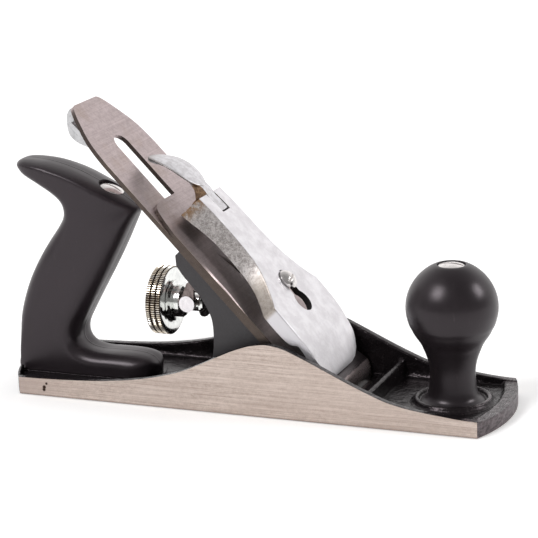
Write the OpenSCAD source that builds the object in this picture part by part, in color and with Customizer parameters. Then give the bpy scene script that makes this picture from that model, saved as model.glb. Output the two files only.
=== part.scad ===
// Metal bench plane with a 50 mm iron: a smoothing-size plane.
// Frame: origin at the middle of the sole face, +X to the toe, +Z up,
// the ground sole lies in Z = 0. All sizes in millimetres.

/* [Body casting] */
// Width across the ground cheeks
body_w = 62; // [60:0.5:66]
// Half of the straight length of each cheek
side_half = 110; // [108:0.5:114]
// How far the rounded toe stands past the cheeks
toe_bulge = 6.8; // [5:0.1:8]
// How far the rounded heel stands past the cheeks
heel_bulge = 10; // [9.6:0.1:11]
// Thickness of the sole plate
floor_t = 4.8; // [4:0.1:5]
// Thickness of each cheek
cheek_t = 3.8; // [3.2:0.1:3.9]
// Extra height of the cheek crown
cheek_lift = 0; // [-1:0.25:1]
// Height of the cross rib in front of the mouth
rib_h = 12.4; // [10:0.2:13]

/* [Bed and frog] */
// Angle of the iron above the sole
bed_angle = 46.4; // [46:0.1:46.8]
// Where the back of the iron meets the sole
mouth_x = 40.4; // [40:0.1:41]
// Width of the frog
frog_w = 44; // [42:0.5:46]
// Length of the frog's bed up the slope
frog_top = 99.6; // [98:0.1:100]

/* [Iron and cap iron] */
// Width of the cutting iron
iron_w = 50.8; // [50:0.1:51]
// Thickness of the cutting iron
iron_t = 2.0; // [1.9:0.05:2]
// Upper end of the iron, up the slope
iron_top = 181.3; // [178:0.1:184]
// Distance of the cutting edge behind the sole corner, up the slope
edge_s = -1.6; // [-1.7:0.05:-1.4]
// Thickness of the cap iron
cap_iron_t = 2.0; // [1.9:0.05:2]

/* [Lever cap] */
// Half width of the flare of the lever cap
flare_w = 26.3; // [25.5:0.1:26.4]
// Radius of the large end of the keyhole
key_r = 5.5; // [5.2:0.1:5.8]
// Place of the lever cap screw, up the slope
screw_s = 58.6; // [58.4:0.1:58.8]

/* [Depth adjuster] */
// Radius of the knurled wheel
wheel_r = 15.8; // [15:0.1:16]
// Number of ridges round the wheel
wheel_ridges = 84; // [60:2:90]
// Height of the adjuster's axis above the sole
stud_z = 41.1; // [41:0.1:41.3]

/* [Lateral lever] */
// Swing of the lateral lever towards the near cheek
lever_swing = 5.4; // [5:0.1:6]

/* [Handles] */
// Thickness of the tote
tote_w = 24.4; // [23:0.2:25]
// Radius of the knob's ball
knob_r = 20.3; // [19:0.1:20.8]
// Place of the knob's axis
knob_x = 89.9; // [88.5:0.1:91]

/* [Hidden] */
$fn = 96;
hw = body_w / 2;                   // half width of the body
inner = hw - cheek_t;              // inside face of a cheek
ca = cos(bed_angle);
sa = sin(bed_angle);
seat_z = 9;                        // top of the frog's seat
tote_z = 6.6;                      // top of the tote's seat
pin_s = 106.5; pin_n = 13.2;       // cam pin in bed coordinates
yoke_x = -25.65; yoke_z = 57.88;      // yoke pin
fork_x = -32.6; fork_z = 42.8;     // fork tips at rest
pivot_s = 92.5;                    // lateral lever's pivot
cap_screw_s = 108;                 // cap iron screw
tote_lean = 19.26;                 // lean of the tote's rod
black = [0.13, 0.13, 0.14];
plastic = [0.2, 0.19, 0.2];
ground = [0.72, 0.68, 0.65];
steel = [0.66, 0.62, 0.61];
silver = [0.84, 0.83, 0.84];
chrome = [0.8, 0.82, 0.82];

// Smooth curve through points: p is a list of [x, z] in order of x.
function cr(a, b, c, d, t) = 0.5 * ((2 * b) + (c - a) * t
    + (2 * a - 5 * b + 4 * c - d) * t * t + (3 * b - a - 3 * c + d) * t * t * t);
function smooth(p, n) = [for (i = [0 : len(p) - 2]) for (k = [0 : n - 1])
    let (a = p[max(i - 1, 0)], b = p[i], c = p[i + 1], d = p[min(i + 2, len(p) - 1)])
    [cr(a[0], b[0], c[0], d[0], k / n), cr(a[1], b[1], c[1], d[1], k / n)]];
// A point of the bed: s up the slope, n out of the bed, as [x, z].
function bedpt(s, n) = [mouth_x - s * ca + n * sa, s * sa + n * ca];
function ellipse(cx, a, b, m) = [for (i = [0 : m - 1]) [cx + a * cos(360 * i / m), b * sin(360 * i / m)]];
function flip(p) = [for (q = p) [-q[0], q[1]]];
function rev(p) = [for (i = [len(p) - 1 : -1 : 0]) p[i]];

// Bed frame: X runs down the slope, Z out of the bed. A place s up the slope is x = -s.
module bed() { translate([mouth_x, 0, 0]) rotate([0, bed_angle, 0]) children(); }
// Outline in X and Z, w wide across the plane.
module side(pts, w) { rotate([90, 0, 0]) linear_extrude(w, center = true) polygon(pts); }
// The same, from y0 to y1.
module slab(pts, y0, y1) { translate([0, (y0 + y1) / 2, 0]) side(pts, y1 - y0); }
module pin_y(x, z, r, y0, y1) { translate([x, y0, z]) rotate([-90, 0, 0]) cylinder(h = y1 - y0, r = r); }
module pin_n(s, r, n0, n1, y = 0) { translate([-s, y, n0]) cylinder(h = n1 - n0, r = r); }

// ---------------------------------------------------------------- casting
cheek_pts = [[-126, 7.7], [-107, 7.95], [-90, 8.4], [-70, 9.5], [-50, 12.0],
    [-30, 16.9], [-20, 21], [-10, 25.9], [0, 30.4 + cheek_lift], [8, 32.9 + cheek_lift],
    [14, 33.6 + cheek_lift], [20, 32.8 + cheek_lift], [30, 29.1], [40, 24.6], [50, 20],
    [60, 15.7], [70, 12], [80, 9.9], [90, 8.7], [106, 7.3], [126, 6.9]];

module outline(c) {
    tr = (hw * hw + toe_bulge * toe_bulge) / (2 * toe_bulge);
    hr = (hw * hw + heel_bulge * heel_bulge) / (2 * heel_bulge);
    translate([-70, -hw + c]) square([80, 2 * (hw - c)]);
    intersection() {
        translate([0, -hw + c]) square([side_half + 20, 2 * (hw - c)]);
        translate([side_half + toe_bulge - tr, 0]) circle(tr - c, $fn = 180);
    }
    intersection() {
        translate([-side_half - 20, -hw + c]) square([60, 2 * (hw - c)]);
        translate([-side_half - heel_bulge + hr, 0]) circle(hr - c, $fn = 180);
    }
}
module round_strip(x0, x1, r) {
    translate([x0, -r]) square([x1 - x0 - r, 2 * r]);
    translate([x1 - r, 0]) circle(r);
}
module body_casting() {
    prof = concat([[-125, 0]], smooth(cheek_pts, 4), [[125, 6.6], [125, 0]]);
    color(black) difference() {
        union() {
            linear_extrude(floor_t) outline(0);
            for (m = [0, 1]) mirror([0, m, 0]) intersection() {
                slab(prof, inner, hw + 1);
                linear_extrude(60) outline(0);
            }
            // raised edge of the toe
            intersection() {
                linear_extrude(6.7) difference() { outline(0); outline(5.6); }
                translate([100, -40, 0]) cube([30, 80, 20]);
            }
            // raised edge of the heel beside the tote
            for (m = [0, 1]) mirror([0, m, 0]) intersection() {
                linear_extrude(7.6) difference() { outline(0); outline(3.8); }
                translate([-130, 14, 0]) cube([28, 40, 20]);
            }
            // tote seat
            intersection() {
                linear_extrude(tote_z) round_strip(-125, -50.3, 13.2);
                linear_extrude(20) outline(0.6);
            }
            // frog seat
            translate([-21, -frog_w / 2 - 0.4, 0]) cube([52.4, frog_w + 0.8, seat_z]);
            // cross rib
            slab([[55.4, floor_t - 1], [58.9, floor_t - 1], [58.4, rib_h - 1],
                [57.6, rib_h], [56.3, rib_h], [55.7, rib_h - 1]], -inner - 0.3, inner + 0.3);
            // knob seat with its ring
            translate([knob_x, 0, 0]) rotate_extrude() polygon([[0, 1], [0, 5.3], [15, 5.3],
                [15.3, 6.8], [15.9, 7.3], [16.6, 7.2], [17.1, 6.6], [18.8, floor_t], [18.8, 1]]);
        }
        // mouth
        side([[mouth_x + 0.55, -1], [46.9, -1], [46.9, seat_z + 6],
            [mouth_x - 0.4 - (seat_z + 6) * ca / sa, seat_z + 6]], 2 * inner);
        // threaded holes for the handle rods and frog screws
        translate([knob_x, 0, 1.6]) cylinder(h = 20, r = 2.85);
        translate([-103.2, 0, 4]) rotate([0, tote_lean, 0]) translate([0, 0, -2.2]) cylinder(h = 20, r = 2.85);
        for (y = [-12.5, 12.5]) translate([6, y, 2.4]) cylinder(h = 20, r = 2.55);
    }
}

// ------------------------------------------------------------------- frog
module frog() {
    web = concat([bedpt(12.6, -0.02), bedpt(frog_top, -0.02), bedpt(frog_top, -4.6)],
        smooth([[-31.3, 64.2], [-27.8, 59.3], [-21, 51.5], [-16.2, 43.5], [-14.7, 37],
            [-14.8, 28], [-16, 20.9], [-18.5, 13], [-20, seat_z]], 3),
        [[-20, seat_z], [31.1, seat_z]]);
    color([0.2, 0.2, 0.21]) difference() {
        union() {
            for (m = [0, 1]) mirror([0, m, 0]) slab(web, frog_w / 2 - 3.6, frog_w / 2);
            side([bedpt(12.6, -0.02), bedpt(frog_top, -0.02), bedpt(frog_top, -4.6),
                bedpt(17.4, -5), [20, seat_z], [31.1, seat_z]], frog_w - 1);
            translate([-17, -frog_w / 2 + 0.5, seat_z]) cube([40, frog_w - 1, 5]);
            // bosses for the stud and the lever cap screw
            translate([-18, 0, stud_z]) rotate([0, 90, 0]) cylinder(h = 16, r = 6);
            bed() pin_n(screw_s, 6.2, -14, -3);
            // lugs of the yoke pin
            for (m = [0, 1]) mirror([0, m, 0]) {
                pin_y(yoke_x, yoke_z, 3.6, 4.9, 7.6);
                bed() translate([-91.1, 5.05, -7]) cube([7.2, 2.4, 4]);
            }
        }
        translate([-19, 0, stud_z]) rotate([0, 90, 0]) cylinder(h = 8, r = 2.95);
        bed() {
            pin_n(screw_s, 2.95, -15, 1);
            pin_n(pivot_s, 2.45, -8, 1);
            pin_n(pivot_s, 3, -8, -3.5);
            // slot of the yoke's nose
            translate([-81.6, -3.4, -10]) cube([8.8, 6.8, 12]);
            // recess of the lateral lever, and the notch where it steps back
            translate([-frog_top - 1, -10, -2.5]) cube([20.6, 20, 4]);
            translate([-frog_top - 2, -9.2, -9]) cube([5.2, 18.4, 12]);
        }
        pin_y(yoke_x, yoke_z, 1.65, -9, 9);
        pin_y(yoke_x, yoke_z, 3.6, -4.95, 4.95);
        for (y = [-12.5, 12.5]) {
            translate([6, y, seat_z - 1]) cylinder(h = 8, r = 2.8);
            translate([6, y, seat_z + 5]) cylinder(h = 40, r = 6.2);
        }
    }
}
module frog_screws() {
    color(steel) for (y = [-12.5, 12.5]) translate([6, y, 0]) difference() {
        union() {
            translate([0, 0, 3]) cylinder(h = 13, r = 2.5);
            translate([0, 0, 15.2]) cylinder(h = 3.2, r = 4.6);
        }
        translate([-6, -0.6, 17.2]) cube([12, 1.2, 3]);
    }
}
module frog_washers() {
    color(steel) for (y = [-12.5, 12.5]) translate([6, y, 14]) difference() {
        cylinder(h = 1.2, r = 5.7);
        translate([0, 0, -1]) cylinder(h = 4, r = 2.7);
    }
}

// --------------------------------------------------------- depth adjuster
module depth_stud() {
    color(steel) translate([-49.6, 0, stud_z]) rotate([0, 90, 0]) cylinder(h = 38, r = 2.9);
}
module depth_hub() {
    color(chrome) translate([0, 0, stud_z]) rotate([0, 90, 0]) difference() {
        rotate_extrude() polygon([[0, -51], [5, -51], [5, -43.5], [9.4, -43.5], [9.4, -42.6],
            [7.4, -42.2], [7.4, -38.3], [6.6, -37.3], [4.2, -36.1], [4.2, -29.2], [5.6, -29],
            [6.5, -28.4], [6.5, -27.5], [6.1, -26.7], [5.2, -25.9], [4, -25.3], [0, -25.1]]);
        translate([0, 0, -60]) cylinder(h = 40, r = 2.97);
    }
}
module knurled(h) {
    m = wheel_ridges;
    linear_extrude(h) difference() {
        polygon([for (i = [0 : 2 * m - 1]) let (r = i % 2 == 0 ? wheel_r : wheel_r - 0.42)
            [r * cos(180 * i / m), r * sin(180 * i / m)]]);
        circle(5.06);
    }
}
module depth_wheel() {
    color(chrome) translate([0, 0, stud_z]) rotate([0, 90, 0]) {
        translate([0, 0, -51]) knurled(2);
        translate([0, 0, -48.3]) knurled(2);
        translate([0, 0, -45.6]) knurled(2);
        translate([0, 0, -51]) difference() {
            cylinder(h = 7.4, r = wheel_r - 0.9);
            translate([0, 0, -1]) cylinder(h = 9, r = 5.06);
        }
    }
}
module yoke_lever() {
    color(steel) difference() {
        union() {
            pin_y(yoke_x, yoke_z, 3.1, -4.6, 4.6);
            slab([[-28.6, 58.3], [-23.2, 56], [-27.9, 49.8], [-32, 52.4]], -4.6, 4.6);
            slab([[-32.4, 52.6], [-29, 53.6], [-27.2, 50.6], [-30.4, 48.9]], -9.6, 9.6);
            for (m = [0, 1]) mirror([0, m, 0]) {
                slab([[-32.4, 52.6], [-29, 53.6], [-29.3, 44], [-35.8, 44]], 7.9, 9.6);
                pin_y(fork_x, fork_z, 3.8, 7.9, 10.2);
                pin_y(fork_x, fork_z, 3.05, 4.5, 9);
            }
            bed() {
                translate([-86, -2.2, -9.6]) cube([10.5, 4.4, 3]);
                translate([-78.6, -2.2, -9.6]) cube([2.6, 4.4, 12]);
                translate([-77.3, 0, 2.4]) rotate([90, 0, 0]) cylinder(h = 4.4, r = 1.7, center = true);
            }
        }
        pin_y(yoke_x, yoke_z, 1.68, -12, 12);
    }
}
module yoke_pin() { color(steel) pin_y(yoke_x, yoke_z, 1.6, -8, 8); }

// ---------------------------------------------------------- lateral lever
module swung() { bed() translate([-pivot_s, 0, 0]) rotate([0, 0, lever_swing]) children(); }
module lateral_lever() {
    color(steel) swung() difference() {
        union() {
            translate([0, 0, -2.2]) linear_extrude(1.9) polygon(flip([[-11.9, -3.2],
                [-11, -4.8], [-8, -5.6], [0, -6], [6.8, -5.2], [6.8, 5.2], [0, 6], [-8, 5.6],
                [-11, 4.8], [-11.9, 3.2]]));
            translate([-6.8, -5.2, -6.3]) cube([1.7, 10.4, 6]);
            translate([0, 0, -6.3]) linear_extrude(2) polygon(flip([[5.1, -5.2], [33, -5.4],
                [63, -4.6], [85, -4], [85, 4], [63, 4.6], [33, 5.4], [5.1, 5.2]]));
            // thumb tab, square to the iron
            translate([-3, 0, 0]) side(flip(concat(smooth([[86.9, -1.7], [86.2, -4.4], [84.1, -7], [80.6, -10],
                [77.1, -11.1], [72.8, -10.3], [68.8, -8.3], [65, -5.6], [62.6, -3.4], [61.6, -1.7]], 3),
                [[61.6, -1.7]])), 2);
        }
        translate([0, 0, -8]) cylinder(h = 10, r = 2.5);
        translate([8, 0, -8]) cylinder(h = 10, r = 1.85);
    }
}
module lateral_rivet() {
    color(steel) bed() union() { pin_n(pivot_s, 2.4, -4.8, -0.3); pin_n(pivot_s, 2.9, -4.9, -3.6); }
}
module lateral_disc() {
    color(steel) swung() translate([8, 0, -0.25]) difference() {
        cylinder(h = 2, r = 4.4);
        translate([0, 0, -1]) cylinder(h = 4, r = 1.85);
    }
}
module disc_rivet() { color(steel) swung() translate([8, 0, -2.2]) cylinder(h = 3.9, r = 1.8); }

// ------------------------------------------------------ iron and cap iron
module plane_iron() {
    h = iron_w / 2;
    edge = smooth([[149, h], [156, h - 0.7], [163, h - 2.3], [169.5, h - 5.4], [175.3, h - 8.6],
        [179.2, h - 11.4], [iron_top - 0.5, h - 13.2], [iron_top, h - 14.8]], 3);
    half = concat([[edge_s, h]], edge, [[iron_top, h - 14.8]]);
    color(steel) bed() difference() {
        intersection() {
            linear_extrude(iron_t) polygon(flip(concat(half, [for (p = rev(half)) [p[0], -p[1]]])));
            side(flip([[edge_s, iron_t], [2.7, 0], [200, 0], [200, iron_t]]), 80);
        }
        translate([0, 0, -1]) {
            translate([-50, 0, 0]) cylinder(h = 5, r = 7.8);
            translate([-154.6, 0, 0]) cylinder(h = 5, r = 5.5);
            translate([-154.6, -5.5, 0]) cube([104.6, 11, 5]);
        }
    }
}
module cap_iron() {
    t = cap_iron_t;
    n0 = iron_t;
    top = smooth([[-0.1, n0 + 0.1], [0.7, n0 + 1.4], [2.3, n0 + 3.7], [4.5, n0 + 5.6], [8, n0 + 6.8],
        [11, n0 + 6.8], [15, n0 + 5.7], [20, n0 + 3.7], [26, n0 + t + 0.25], [32, n0 + t]], 3);
    low = smooth([[32, n0], [26, n0 + 0.2], [20.4, n0 + 1.6], [15.6, n0 + 3.4], [11.2, n0 + 4.5],
        [8.4, n0 + 4.5], [5.8, n0 + 3.6], [4.1, n0 + 2.2], [2.6, n0 + 0.4], [1.6, n0]], 3);
    h = iron_w / 2;
    corner = [[104, -h], [108, -h + 0.4], [112, -h + 1.2], [115.6, -h + 2.1], [118.4, -h + 3.1],
        [120.6, -h + 4.6], [121.8, -h + 6.8], [122.4, -h + 10], [122.6, -h + 15]];
    color(steel) bed() difference() {
        intersection() {
            side(flip(concat([[32, n0 + t], [122.6, n0 + t], [122.6, n0]], low, [[1.6, n0], [-0.1, n0]],
                top)), 2 * h);
            linear_extrude(20) polygon(flip(concat([[-5, -h]], corner,
                [for (q = rev(corner)) [q[0], -q[1]]], [[-5, h]])));
        }
        pin_n(62, 5.6, 0, 9);
        pin_n(52.6, 5.6, 0, 9);
        translate([-62, -5.6, 0]) cube([9.4, 11.2, 9]);
        translate([-79.25, -3.4, 0]) cube([3.9, 6.8, 9]);
        pin_n(cap_screw_s, 3.95, 0, 9);
    }
}
module cap_iron_screw() {
    color(steel) bed() difference() {
        union() { pin_n(cap_screw_s, 3.9, -1, iron_t + cap_iron_t - 0.1); pin_n(cap_screw_s, 7.2, -2.8, 0); }
        translate([-cap_screw_s - 8, -0.8, -4]) cube([16, 1.6, 2.2]);
    }
}

// --------------------------------------------------------------- lever cap
cap_top = [[12, 10], [13.5, 10.9], [16, 11.9], [20, 13.2], [26, 15], [33, 16.2], [42, 16.9],
    [51, 17.2], [58, 17.7], [66, 18.4], [76, 18.8], [90, 18.9], [102, 18.8], [111.2, 18.2]];
module lever_cap_plan(c) {
    w = flare_w - c;
    edge = smooth([[62, 20.2 - c], [57, 23.2 - c], [52, w], [46, w + 0.2], [38, w - 0.1], [30, w - 0.7],
        [24, w - 1.9], [18.6, w - 4.6], [14.6, w - 9.2], [12.6, w - 15], [12.05 + c * 0.3, 5]], 3);
    half = concat([[68, 13.4 - c], [65, 16.2 - c]], edge);
    polygon(flip(concat(half, [for (p = rev(half)) [p[0], -p[1]]])));
}
module lever_cap() {
    color(silver) bed() difference() {
        union() {
            // flared clamping end
            intersection() {
                linear_extrude(40) lever_cap_plan(0);
                side(flip(concat(smooth(cap_top, 3), [[111, 15.5], [60, 14.8], [50, 14.2], [42, 13.6],
                    [33, 12.6], [26, 11.2], [20, 9.9], [16, 9.2], [12.4, 9.2]])), 80);
            }
            // skirt of the flare
            intersection() {
                linear_extrude(40) difference() { lever_cap_plan(0); lever_cap_plan(3); }
                side(flip([[68, 17.8], [68, 11.4], [59, 11], [52, 10], [39, 9.6], [30, 11.4], [29, 13.4],
                    [42, 16], [52, 16.6]]), 80);
            }
            // narrow upper end with sloping walls
            intersection() {
                translate([-111.2, 0, 0]) rotate([90, 0, 90]) linear_extrude(48) polygon([[-17, 7],
                    [-14.3, 7], [-10.6, 15.8], [10.6, 15.8], [14.3, 7], [17, 7], [13, 17.9],
                    [12, 19.2], [-12, 19.2], [-13, 17.9]]);
                side(flip(concat(smooth(cap_top, 3), [[111.2, 18.2], [111.2, 7.8], [106, 8.6], [99, 9.9],
                    [91, 10.7], [60, 10.8]])), 80);
            }
            // ears of the cam pin
            for (m = [0, 1]) mirror([0, m, 0]) translate([-111.2, 3.8, 9.6]) cube([10.4, 4.3, 7]);
        }
        // keyhole and the seat of the screw's head
        pin_n(47.2, key_r, 0, 40);
        pin_n(screw_s, 3.3, 0, 40);
        translate([-screw_s, -3.3, 0]) cube([screw_s - 47.2, 6.6, 40]);
        pin_n(screw_s, 5.5, 17.9, 30);
        // slot of the cam
        slab(flip([[112, 0], [98.9, 0], [98.9, 15.2], [100.4, 19.2], [100.4, 40], [112, 40]]), -3.8, 3.8);
        translate([-pin_s, -10, pin_n]) rotate([-90, 0, 0]) cylinder(h = 20, r = 1.55);
        pin_n(82, 2.05, 10, 17.4);
    }
}
module lever_cap_screw() {
    color(chrome) bed() difference() {
        union() {
            pin_n(screw_s, 2.9, -13.4, 19);
            intersection() {
                pin_n(screw_s, 4.9, 18, 24);
                translate([-screw_s, 0, 15.6]) sphere(r = 5.9);
            }
        }
        translate([-screw_s, 0, 20]) rotate([0, 0, 109.3]) translate([-8, -0.65, 0]) cube([16, 1.3, 4]);
    }
}
module cam_lever() {
    upper = smooth([[109.5, 18.2], [114, 18.8], [120, 18.5], [126, 17.9], [131.6, 16.2], [136.8, 13.1],
        [140.6, 10], [142.5, 7.7]], 3);
    under = smooth([[142.5, 7.7], [141.2, 6.9], [138.6, 8.3], [135.2, 10.7], [130.6, 13.1], [126, 14.6],
        [120, 15.3], [116.4, 14.9], [113, 12], [110.5, 9.4]], 3);
    color(silver) bed() difference() {
        union() {
            translate([-pin_s, -3.45, pin_n]) rotate([-90, 0, 0]) cylinder(h = 6.9, r = 5.2);
            translate([-pin_s - 0.4, -3.45, pin_n - 1.85]) rotate([-90, 0, 0]) cylinder(h = 6.9, r = 6.1);
            slab(flip(concat([[102, 13], [100.95, 17.7], [101.5, 18.5]], upper, [[142.5, 7.7]], under, [[110.5, 9.4]])), -3.45, 3.45);
            intersection() {
                side(flip(concat([[110, 15], [110, 18.3]], upper, [[142.5, 7.7]], under, [[110.5, 9.4]])), 60);
                linear_extrude(40) polygon(flip(ellipse(128.8, 13.7, 8.7, 56)));
            }
        }
        translate([-pin_s, -10, pin_n]) rotate([-90, 0, 0]) cylinder(h = 20, r = 1.55);
    }
}
module cam_pin() { color(steel) bed() translate([-pin_s, -8, pin_n]) rotate([-90, 0, 0]) cylinder(h = 16, r = 1.5); }
module lever_cap_spring() {
    mid = smooth([[78, 15.2], [84, 15.2], [87, 14.7], [92, 12.5], [98, 8.1], [102.6, 5.4], [107, 4.7], [112, 5.7]], 4);
    color(steel) bed() difference() {
        side(flip(concat([for (p = mid) [p[0], p[1] + 0.42]], [[112, 6.1], [112, 5.3]],
            [for (p = rev(mid)) [p[0], p[1] - 0.42]])), 10);
        pin_n(82, 2.05, 10, 20);
    }
}
module spring_rivet() {
    color(steel) bed() union() { pin_n(82, 2, 14.2, 17.3); pin_n(82, 2.7, 13.4, 14.7); }
}

// ----------------------------------------------------------------- handles
// Side outline of the tote, clockwise from the near side: x, z and how far the
// edge is rounded there (1 is the full grip radius).
tote_pts = [[-119, 101.8, 0.36], [-117.2, 104.4, 0.3], [-113, 105.4, 0.3], [-104.5, 104.8, 0.28],
    [-98, 103.5, 0.28], [-92, 101.95, 0.28], [-86, 99.9, 0.28], [-79.5, 97, 0.28], [-72, 93.6, 0.28],
    [-65.4, 90, 0.26], [-61.6, 87.4, 0.26], [-58.5, 84.2, 0.28], [-59.8, 80.8, 0.45], [-62.8, 75.1, 0.85],
    [-67.7, 65.4, 1.2], [-74.6, 52.6, 1.3], [-80.6, 42.2, 1.3], [-86.2, 32.4, 1.15], [-90.2, 25.4, 1],
    [-90.6, 20.6, 0.85], [-88, 17.6, 0.7], [-81, 16.7, 0.66], [-72, 16.6, 0.64], [-62, 16.1, 0.6],
    [-56, 14.5, 0.45], [-53, 11.9, 0.2], [-52.4, 9.2, 0], [-52.9, tote_z, 0], [-64, tote_z, 0],
    [-78, tote_z, 0], [-92, tote_z, 0], [-106, tote_z, 0], [-119.2, tote_z, 0], [-119.8, 10.5, 0.1],
    [-119.9, 20.2, 0.5], [-119.4, 30.1, 0.95], [-116.8, 40.1, 1.1], [-112.5, 50.3, 1.15], [-106.7, 60.2, 1.15],
    [-101.5, 67.9, 1.1], [-96.2, 75.8, 0.9], [-93.7, 81, 0.7], [-94.8, 86.4, 0.55], [-99.8, 91.2, 0.45],
    [-108.2, 95.1, 0.4], [-115, 98, 0.36]];
// The flat side of the tote in convex pieces, by the numbers of the outline's points.
tote_side = [[0, 1, 45], [1, 2, 44, 45], [2, 3, 43, 44], [3, 4, 42, 43], [4, 5, 42], [5, 6, 42],
    [6, 41, 42], [6, 7, 41], [7, 8, 41], [8, 9, 13], [9, 10, 13], [10, 11, 13], [11, 12, 13],
    [8, 13, 40, 41], [13, 14, 39, 40], [14, 15, 38, 39], [15, 16, 37, 38], [16, 17, 36, 37],
    [17, 18, 35, 36], [18, 19, 34, 35], [19, 20, 34], [20, 31, 32, 33, 34], [20, 30, 31],
    [20, 21, 29, 30], [21, 22, 29], [22, 28, 29], [22, 23, 28], [23, 24, 25, 26, 27, 28]];
// A ring of the tote: the outline moved in by d times its rounding, at y.
// In plan the horn and the nose are rounded off.
function plan(x, z) = 1 - min(1, max(0, (z - 58) / 26))
    * (1 - pow(max(0.02, 1 - pow(min(1, abs(x + 88.85) / 30.7), x > -88.85 ? 5 : 2.6)), 0.385));
function ring(p, d, y) = [for (i = [0 : len(p) - 1]) let (m = len(p), a = p[(i + m - 1) % m],
    b = p[(i + 1) % m], u = [b[0] - a[0], b[1] - a[1]], e = norm(u), q = d * p[i][2] / max(e, 0.01))
    [p[i][0] + u[1] * q, y * plan(p[i][0] + u[1] * q, p[i][1]), max(p[i][1] - u[0] * q, tote_z)]];
module tote() {
    m = len(tote_pts);
    t = tote_w / 2;
    r = 8;
    half = [for (q = [0, 0.45, 1.2, 2.3, 3.8, 5.6, 8]) [t - q, r - sqrt(r * r - (r - q) * (r - q))]];
    pts = concat([for (q = half) each ring(tote_pts, q[1] * 0.8, -q[0])],
        [for (q = rev(half)) each ring(tote_pts, q[1] * 0.8, q[0])]);
    k = 2 * len(half);
    cap = [for (f = tote_side) for (i = [1 : len(f) - 2]) [f[0], f[i], f[i + 1]]];
    faces = concat(cap,
        [for (j = [0 : k - 2]) for (i = [0 : m - 1]) [j * m + (i + 1) % m, j * m + i, j * m + i + m]],
        [for (j = [0 : k - 2]) for (i = [0 : m - 1]) [j * m + (i + 1) % m, j * m + i + m, (j + 1) * m + (i + 1) % m]],
        [for (f = cap) [for (i = rev(f)) (k - 1) * m + i]]);
    color(plastic) difference() {
        intersection() {
            polyhedron(pts, faces);
            union() {
                linear_extrude(60) round_strip(-119.6 - 12, -52.5, t + 0.01);
                translate([-140, -20, 19.5]) cube([120, 40, 100]);
            }
        }
        translate([-103.2, 0, 4]) rotate([0, tote_lean, 0]) {
            cylinder(h = 90, r = 3.1);
            translate([0, 0, 77]) cylinder(h = 20, r = 4.5);
            translate([0, 0, 90.6]) cylinder(h = 20, r = 6.3);
        }
    }
}
module tote_rod() {
    color(steel) translate([-103.2, 0, 4]) rotate([0, tote_lean, 0]) translate([0, 0, -2]) cylinder(h = 88, r = 2.8);
}
module tote_nut() {
    color(chrome) translate([-103.2, 0, 4]) rotate([0, tote_lean, 0]) difference() {
        union() {
            translate([0, 0, 78]) cylinder(h = 14.4, r = 4.4);
            intersection() {
                translate([0, 0, 91.4]) cylinder(h = 5, r = 6.1);
                translate([0, 0, 80.7]) sphere(r = 14.2);
            }
        }
        translate([0, 0, 70]) cylinder(h = 17, r = 2.85);
        translate([-8, -0.6, 93.9]) cube([16, 1.2, 3]);
    }
}
function ball(a) = [knob_r * cos(a), 48.2 + knob_r * sin(a)];
module knob() {
    neck = smooth([[13.7, 6.5], [12.4, 7.8], [11.2, 9.8], [10.45, 13], [10.2, 17], [10.35, 21], [11.1, 25], [12.3, 28.6],
        [14, 32], [16.2, 35.3]], 4);
    crown = [for (a = [-32 : 8 : 72]) ball(a)];
    color(plastic) translate([knob_x, 0, 0]) difference() {
        rotate_extrude() polygon(concat([[0, 5.3], [14.4, 5.3], [14.4, 5.8]], neck, crown, [[0, 67.2]]));
        translate([0, 0, 4]) cylinder(h = 60, r = 3.1);
        translate([0, 0, 50]) cylinder(h = 20, r = 4.5);
        translate([0, 0, 64.1]) cylinder(h = 10, r = 6.15);
    }
}
module knob_rod() { color(steel) translate([knob_x, 0, 1.8]) cylinder(h = 58, r = 2.8); }
module knob_nut() {
    color(chrome) translate([knob_x, 0, 0]) difference() {
        union() {
            translate([0, 0, 51]) cylinder(h = 14.5, r = 4.4);
            intersection() {
                translate([0, 0, 64.3]) cylinder(h = 5, r = 5.7);
                translate([0, 0, 50.4]) sphere(r = 17.6);
            }
        }
        translate([0, 0, 45]) cylinder(h = 16, r = 2.85);
        translate([-8, -0.6, 67.1]) cube([16, 1.2, 3]);
    }
}

body_casting();
frog();
frog_screws();
frog_washers();
depth_stud();
depth_hub();
depth_wheel();
yoke_lever();
yoke_pin();
lateral_lever();
lateral_rivet();
lateral_disc();
disc_rivet();
plane_iron();
cap_iron();
cap_iron_screw();
lever_cap();
lever_cap_screw();
cam_lever();
cam_pin();
lever_cap_spring();
spring_rivet();
tote();
tote_rod();
tote_nut();
knob();
knob_rod();
knob_nut();
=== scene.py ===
import math
import bpy
import bmesh
from mathutils import Vector, Matrix
from mathutils.geometry import delaunay_2d_cdt


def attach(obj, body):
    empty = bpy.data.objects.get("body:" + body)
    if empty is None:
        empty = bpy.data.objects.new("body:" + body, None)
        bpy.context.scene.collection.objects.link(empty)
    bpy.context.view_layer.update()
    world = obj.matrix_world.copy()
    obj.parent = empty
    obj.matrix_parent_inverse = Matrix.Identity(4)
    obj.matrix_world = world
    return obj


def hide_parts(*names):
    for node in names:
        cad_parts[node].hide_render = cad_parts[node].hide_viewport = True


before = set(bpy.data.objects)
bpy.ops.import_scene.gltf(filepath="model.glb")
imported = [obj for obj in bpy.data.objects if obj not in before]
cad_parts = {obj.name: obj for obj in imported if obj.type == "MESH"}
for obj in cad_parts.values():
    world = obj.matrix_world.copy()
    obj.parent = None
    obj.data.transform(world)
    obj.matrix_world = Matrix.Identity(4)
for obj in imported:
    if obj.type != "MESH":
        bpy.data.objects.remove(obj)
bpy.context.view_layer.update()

MM = 0.001
BED = math.radians(46.4)
CA, SA = math.cos(BED), math.sin(BED)
MOUTH_X = 40.4

# ------------------------------------------------------------------ helpers


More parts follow.
